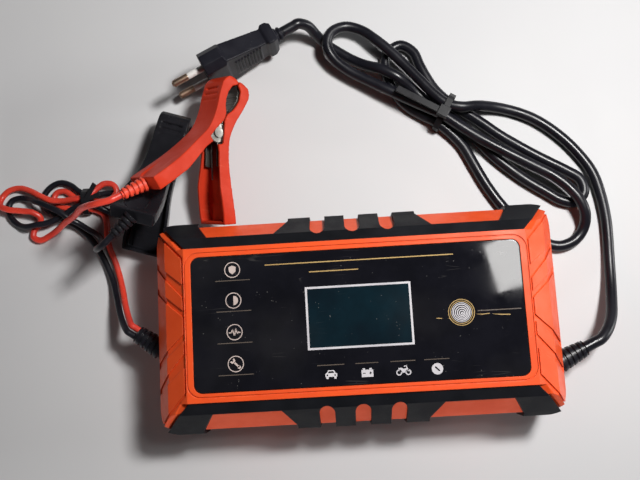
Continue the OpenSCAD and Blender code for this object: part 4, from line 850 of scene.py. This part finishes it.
# %% Clamp covers
thumb_at = Vector((-30.4, 22.3, 0))
along = turned((1, 0, 0), (0, 0, -handle_turn))
outward = turned((0, 1, 0), (0, 0, -handle_turn))
backing = [
    thumb_at + a * along + b * outward
    for a, b in ((-10.4, -0.95), (-10.4, -2.3), (-1, -2.3), (-1, -1.2))
]
wedge = [
    (6.8, 0.45), (3.0, 1.9), (0, 3.1), (-2.5, 3.8), (-4.4, 4.5), (-5.2, 5.3), (-3.3, 6.7), (-1, 7.2),
    (2, 7.0), (4.6, 5.7), (6.4, 3.8),
]
cheek_in, cheek_out, recess_half = 6.9, 8.45, 6.6
for which in ("red", "black"):
    for half, body in (("lead", "charger"), ("free", which + "_free_half")):
        node = f"{which}_{half}_handle"
        skin = merged_copy(node)
        side = 1 if half == "lead" else -1
        put = partial(in_clamp, which)
        for low, high in ((cheek_in, cheek_out), (-cheek_out, -cheek_in)):
            add_plate(skin, [(x, side * y) for x, y in wedge], low, high, put)
        add_plate(skin, [(p.x, side * p.y) for p in backing], -recess_half, recess_half, put)
        cover = piece_from(skin, f"{which}_{half}_cover", finish["clamp_" + which], body)
        soften(cover, 0.00042, 5)
        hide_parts(node)

# %% [markdown]
# ## Plug
# The plug's body is a rubbery moulding with soft edges too. Its copy gets fine grip ribs across both
# broad sides, which slope a little outwards, and then the same remesh and smoothing.

# %% Plug body
def at_plug(p):
    return plug_at + turned(p, (0, 0, 206.4))


skin = merged_copy("plug_body")
rib_count, first_rib, rib_step, rib_proud, rib_half = 9, 11.2, 1.9, 0.5, 8.5
for k in range(rib_count):
    x = first_rib + rib_step * k
    top = 5.15 + 0.035 * (x - 7) + rib_proud
    for side in (-1, 1):
        corners = [(x - 0.5, side * 4.2), (x + 0.5, side * 4.2), (x + 0.4, side * top),
                   (x - 0.4, side * top)]
        add_plate(skin, corners, -rib_half, rib_half, at_plug)
plug = piece_from(skin, "plug_moulding", finish["plug_black"])
soften(plug, 0.00036, 4)
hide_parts("plug_body")

# %% [markdown]
# ## Clamp springs
# Each clamp's spring is round wire: three turns about the rivet, with a straight leg out to each
# handle. The leg in the free handle is a piece of its own that turns with it. It starts with a short
# arc of the last turn, so that it slides along the coil as the clamp opens.

# %% Springs
spring_r, wire_d, spring_pitch, turns_of_spring = 2.9, 0.94, 1.6, 3
leg = Vector((-20 * handle_l / 46, 13.2, 0))
leg_knee = Vector((leg.x / 2.6, leg.y / 2.6 + 1.4, 0))
leg_turn = math.pi - math.atan2(leg.y, -leg.x)
coil_start = leg_turn - math.acos(spring_r / leg.length)
coil_sweep = 2 * coil_start + turns_of_spring * 2 * math.pi
coil_h = spring_pitch * coil_sweep / (2 * math.pi)


def on_coil(part):
    """A point of the coil: part is 0 where it starts and 1 where it ends."""
    turn = coil_start - coil_sweep * part
    return Vector((spring_r * math.cos(turn), spring_r * math.sin(turn), coil_h / 2 - coil_h * part))


coil_top = Vector((0, 0, coil_h / 2))
fixed = [leg + coil_top, leg_knee + coil_top] + [on_coil(i / 27) for i in range(28)]
moving = [on_coil(part) for part in (0.965, 0.98, 1.0)]
moving += [Vector((p.x, -p.y, 0)) - coil_top for p in (leg_knee, leg)]
for which in ("red", "black"):
    free_half = which + "_free_half"
    for points, name, body in ((fixed, "wire_spring", "charger"), (moving, "spring_leg", free_half)):
        line = [in_clamp(which, p) for p in smooth_line(points, 4)]
        spring = round_cord(f"{which}_{name}", line, wire_d, 3)
        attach(spring, body)
        spring.data.materials.append(finish["spring_steel"])
        if body == "charger":
            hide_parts(which + "_spring")
    print(which, "spring:", turns_of_spring, "turns and two legs")

# %% [markdown]
# ## The panel
# The glass is back-printed: black with pale symbols, a framed display and a gold key. The prints are
# thin faces just above the glass. They are drawn in millimetres, flat, then moved to the panel. The
# label places hold plain rules.

# %% Panel helpers
print_z = 53.85 + 0.02
glass_at = Vector((0, 0, print_z))


def ring(bm, centre, radius, width, sides=48):
    """A flat ring: a disc whose middle is inset and taken out."""
    disc = bmesh.ops.create_circle(
        bm, cap_ends=True, radius=radius, segments=sides, matrix=Matrix.Translation((*centre, 0)),
    )
    face = disc["verts"][0].link_faces[0]
    bmesh.ops.inset_region(
        bm, faces=[face], thickness=width, use_boundary=True, use_even_offset=True,
    )
    bmesh.ops.delete(bm, geom=[face], context="FACES_ONLY")


def disc(bm, centre, radius, sides=32):
    bmesh.ops.create_circle(
        bm, cap_ends=True, radius=radius, segments=sides, matrix=Matrix.Translation((*centre, 0)),
    )


def patch(bm, centre, corners, turn=0.0):
    """One flat face from a few corners."""
    spin = Matrix.Rotation(math.radians(turn), 3, "Z")
    middle = Vector((*centre, 0))
    made = [bm.verts.new(middle + spin @ Vector((x, y, 0))) for x, y in corners]
    bm.faces.new(made).normal_update()


def bar(bm, centre, length, height, turn=0.0):
    x, y = length / 2, height / 2
    patch(bm, centre, [(-x, -y), (x, -y), (x, y), (-x, y)], turn)


def print_on_panel(bm, name, material, lift=0.0):
    bmesh.ops.triangulate(bm, faces=bm.faces)
    bmesh.ops.recalc_face_normals(bm, faces=bm.faces)
    for face in bm.faces:
        if face.normal.z < 0:
            face.normal_flip()
    bmesh.ops.translate(bm, verts=bm.verts, vec=glass_at + Vector((0, 0, lift)))
    bmesh.ops.scale(bm, verts=bm.verts, vec=(MM, MM, MM))
    print(name, len(bm.faces), "faces")
    return piece_from(bm, name, material, smooth=False)


# %% [markdown]
# ### Print colours
# Silk-screened ink on the back of glass is even but not perfect: it thins in tiny pinholes. The same
# helper gives a white, a rose-gold, a faint and a gold ink.

# %% Inks
finish["ink_white"] = make_finish(
    "ink_white", (0.62, 0.60, 0.62), (0.50, 0.48, 0.51), gloss=(0.08, 0.16), grain=4000.0, depth=0.0,
    wear=0.0, scratches=0.3, dust=0.4, coat=0.3,
)
finish["ink_rose"] = make_finish(
    "ink_rose", (0.60, 0.50, 0.46), (0.47, 0.38, 0.35), gloss=(0.08, 0.16), grain=4000.0, depth=0.0,
    wear=0.0, scratches=0.3, dust=0.4, coat=0.3,
)
finish["ink_faint"] = make_finish(
    "ink_faint", (0.115, 0.092, 0.075), (0.085, 0.068, 0.056), gloss=(0.08, 0.16), grain=4000.0,
    depth=0.0, wear=0.0, scratches=0.3, dust=0.4,
)
finish["ink_gold"] = make_finish(
    "ink_gold", (0.52, 0.36, 0.15), (0.40, 0.26, 0.10), gloss=(0.08, 0.16), grain=4000.0, depth=0.0,
    wear=0.0, scratches=0.3, dust=0.4, coat=0.3,
)

# %% Symbols on the left: four round badges
icons = bmesh.new()
badge_x = -60
for y in (25.8, 10.8, -4.5, -19.7):
    ring(icons, (badge_x, y), 3.9, 0.42)
# A shield with a notch in it
patch(icons, (badge_x, 25.8), [(0, -2.2), (1.6, -0.9), (1.8, 1.4), (0, 2.1), (-1.8, 1.4), (-1.6, -0.9)])
# A half disc: winter and summer
half_disc = [(2.3 * heading(a).x, 2.3 * heading(a).y) for a in range(-75, 90, 15)]
patch(icons, (badge_x, 10.8), [(0, -2.3), *half_disc, (0, 2.3)])
# A pulse
for x, y, length, turn in (
    (-2.2, -0.2, 1.3, 0), (-1.3, 0.5, 1.9, 70), (-0.6, -0.1, 3.2, -76), (0.3, 0, 3.4, 78),
    (1.0, 0.2, 2.2, -72), (1.7, -0.3, 1.2, 60), (2.4, -0.2, 0.9, 0),
):
    bar(icons, (badge_x + x, -4.5 + y), length, 0.5, turn)
# A spanner: a shaft, a closed end and an open head
bar(icons, (badge_x + 0.4, -20.1), 3.4, 0.9, -45)
disc(icons, (badge_x + 1.65, -21.35), 0.8, 16)
patch(icons, (badge_x - 1.25, -18.45), [
    (0.9, -0.45), (0.3, -1.15), (-0.8, -1.3), (-0.8, -0.5), (-0.1, -0.42), (-0.1, 0.42), (-0.8, 0.5),
    (-0.8, 1.3), (0.3, 1.15), (0.9, 0.45)], -45)
icon_print = print_on_panel(icons, "icon_print", finish["ink_rose"])

# %% Symbols under the display: car, battery, motorcycle, mending
modes = bmesh.new()
row_y = -27.3
patch(modes, (-14.5, row_y), [(-2.8, -1.0), (2.8, -1.0), (2.8, 0.5), (2.0, 0.9), (1.4, 2.1), (-1.4, 2.1),
                              (-2.0, 0.9), (-2.8, 0.5)])
for s in (-1, 1):
    bar(modes, (-14.5 + s * 1.9, row_y - 1.45), 1.1, 1.0)
bar(modes, (2.8, row_y - 0.3), 5.6, 3.4)
for s in (-1, 1):
    bar(modes, (2.8 + s * 1.6, row_y + 1.75), 1.2, 0.8)
for s in (-1, 1):
    ring(modes, (20.1 + s * 2.2, row_y - 0.8), 1.4, 0.5, 24)
patch(modes, (20.1, row_y), [(-2.6, 1.3), (-2.4, 0.7), (-0.9, -0.9), (0.9, -0.9), (1.9, 0.6), (1.4, 1.2),
                             (0.2, 0.8), (-0.9, 1.4)])
bar(modes, (22.0, row_y + 0.9), 3.2, 0.45, -62)
bar(modes, (21.0, row_y + 2.2), 1.5, 0.45, 15)
disc(modes, (36.2, row_y), 2.7)
mode_print = print_on_panel(modes, "mode_print", finish["ink_white"])
gaps = bmesh.new()
patch(gaps, (-14.5, row_y), [(-1.5, 0.75), (1.5, 0.75), (1.05, 1.65), (-1.05, 1.65)])
for s in (-1, 1):
    disc(gaps, (-14.5 + s * 1.85, row_y - 0.2), 0.42, 12)
bar(gaps, (1.3, row_y - 0.2), 1.3, 0.4)
bar(gaps, (4.3, row_y - 0.2), 1.3, 0.4)
bar(gaps, (4.3, row_y - 0.2), 0.4, 1.3)
bar(gaps, (36.2, row_y), 3.0, 0.75, -45)
mend_print = print_on_panel(gaps, "mend_print", finish["panel_black"], 0.01)

# %% [markdown]
# The words of a real panel are left off. Thin rules stand in their place, so the panel keeps its
# balance and carries no text.

# %% Plain rules where labels would be
title = bmesh.new()
bar(title, (2.0, 27.2), 92, 0.5)
bar(title, (-10.5, 22.6), 24, 0.5)
title_rules = print_on_panel(title, "title_rules", finish["ink_gold"])
rules = bmesh.new()
for y in (20.6, 5.6, -9.7, -24.9):
    bar(rules, (badge_x, y), 17, 0.4)
for x, length in ((-14.5, 13), (2.8, 11), (20.1, 12), (36.2, 12)):
    bar(rules, (x, row_y + 4.6), length, 0.4)
bar(rules, (68.0, -0.9), 21, 0.5)
label_rules = print_on_panel(rules, "label_rules", finish["ink_faint"])

# %% [markdown]
# ### Display
# The display is switched off: a dark teal field behind the glass, in a pale printed frame. A slow
# noise darkens it in soft clouds: a painted reflection of blurred shapes mirrored in the glass.


# %% Display and its frame
def display_painted_reflection(tree, paint, height):
    # Painted reflection: soft darker clouds, standing in for blurred shapes mirrored in the glass.
    reflection_cloud = map_range(tree, noise(tree, place_of(tree, (40, 26, 1)), 1.0, 3.0), 0.42, 0.68)
    reflection_cloud = math_node(tree, "MULTIPLY", reflection_cloud, 0.6)
    return mix_colour(tree, reflection_cloud, paint, (0.002, 0.005, 0.009)), height


finish["display_off"] = make_finish(
    "display_off", (0.0025, 0.013, 0.020), (0.0018, 0.009, 0.014), gloss=(0.03, 0.07), depth=0.0,
    wear=0.0, scratches=0.15, dust=0.2, pattern=display_painted_reflection,
)
field = bmesh.new()
bar(field, (0.65, 0), 50.2, 29.2)
display_face = print_on_panel(field, "display_face", finish["display_off"], -0.005)
edge = bmesh.new()
bar(edge, (0.65, 0), 51.3, 30.4)
outer = list(edge.faces)
bmesh.ops.inset_region(edge, faces=outer, thickness=1.0, use_boundary=True, use_even_offset=True)
bmesh.ops.delete(edge, geom=outer, context="FACES_ONLY")
display_frame = print_on_panel(edge, "display_frame", finish["ink_white"], 0.01)

# %% Touch key: gold rings with a fingertip's lines in the middle
key = bmesh.new()
key_at = (49.8, -1.2)
ring(key, key_at, 6.4, 0.32, 64)
ring(key, key_at, 5.5, 0.28, 64)
key_rings = print_on_panel(key, "key_rings", finish["ink_gold"])
tip = bmesh.new()
for k, radius in enumerate((0.7, 1.55, 2.4, 3.25, 4.1)):
    ring(tip, (key_at[0] + 0.08 * (4 - k), key_at[1] - 0.12 * (4 - k)), radius, 0.46, 40)
ring(tip, key_at, 4.75, 0.3, 48)
key_tip = print_on_panel(tip, "key_tip", finish["ink_white"])

# %% [markdown]
# A used panel isn't perfect. One thin rubbed line runs through the key, where something has gone
# through the black to the gold under it.

# %% A rubbed line
rub = bmesh.new()
for corners in (
    [(-12.6, -2.3), (-9.5, -2.6), (-9.4, -2.3), (-11.5, -2.0)],
    [(6.9, -1.2), (9.6, -1.7), (13.5, -1.4), (13.4, -1.1), (9.4, -1.3)],
    [(14.2, -1.5), (18.0, -2.2), (23.4, -2.5), (23.2, -2.1), (18.2, -1.8)],
    [(-6.8, -2.6), (-5.4, -2.9), (-5.5, -2.5)],
):
    patch(rub, key_at, corners)
rubbed_line = print_on_panel(rub, "rubbed_line", finish["ink_gold"], 0.01)
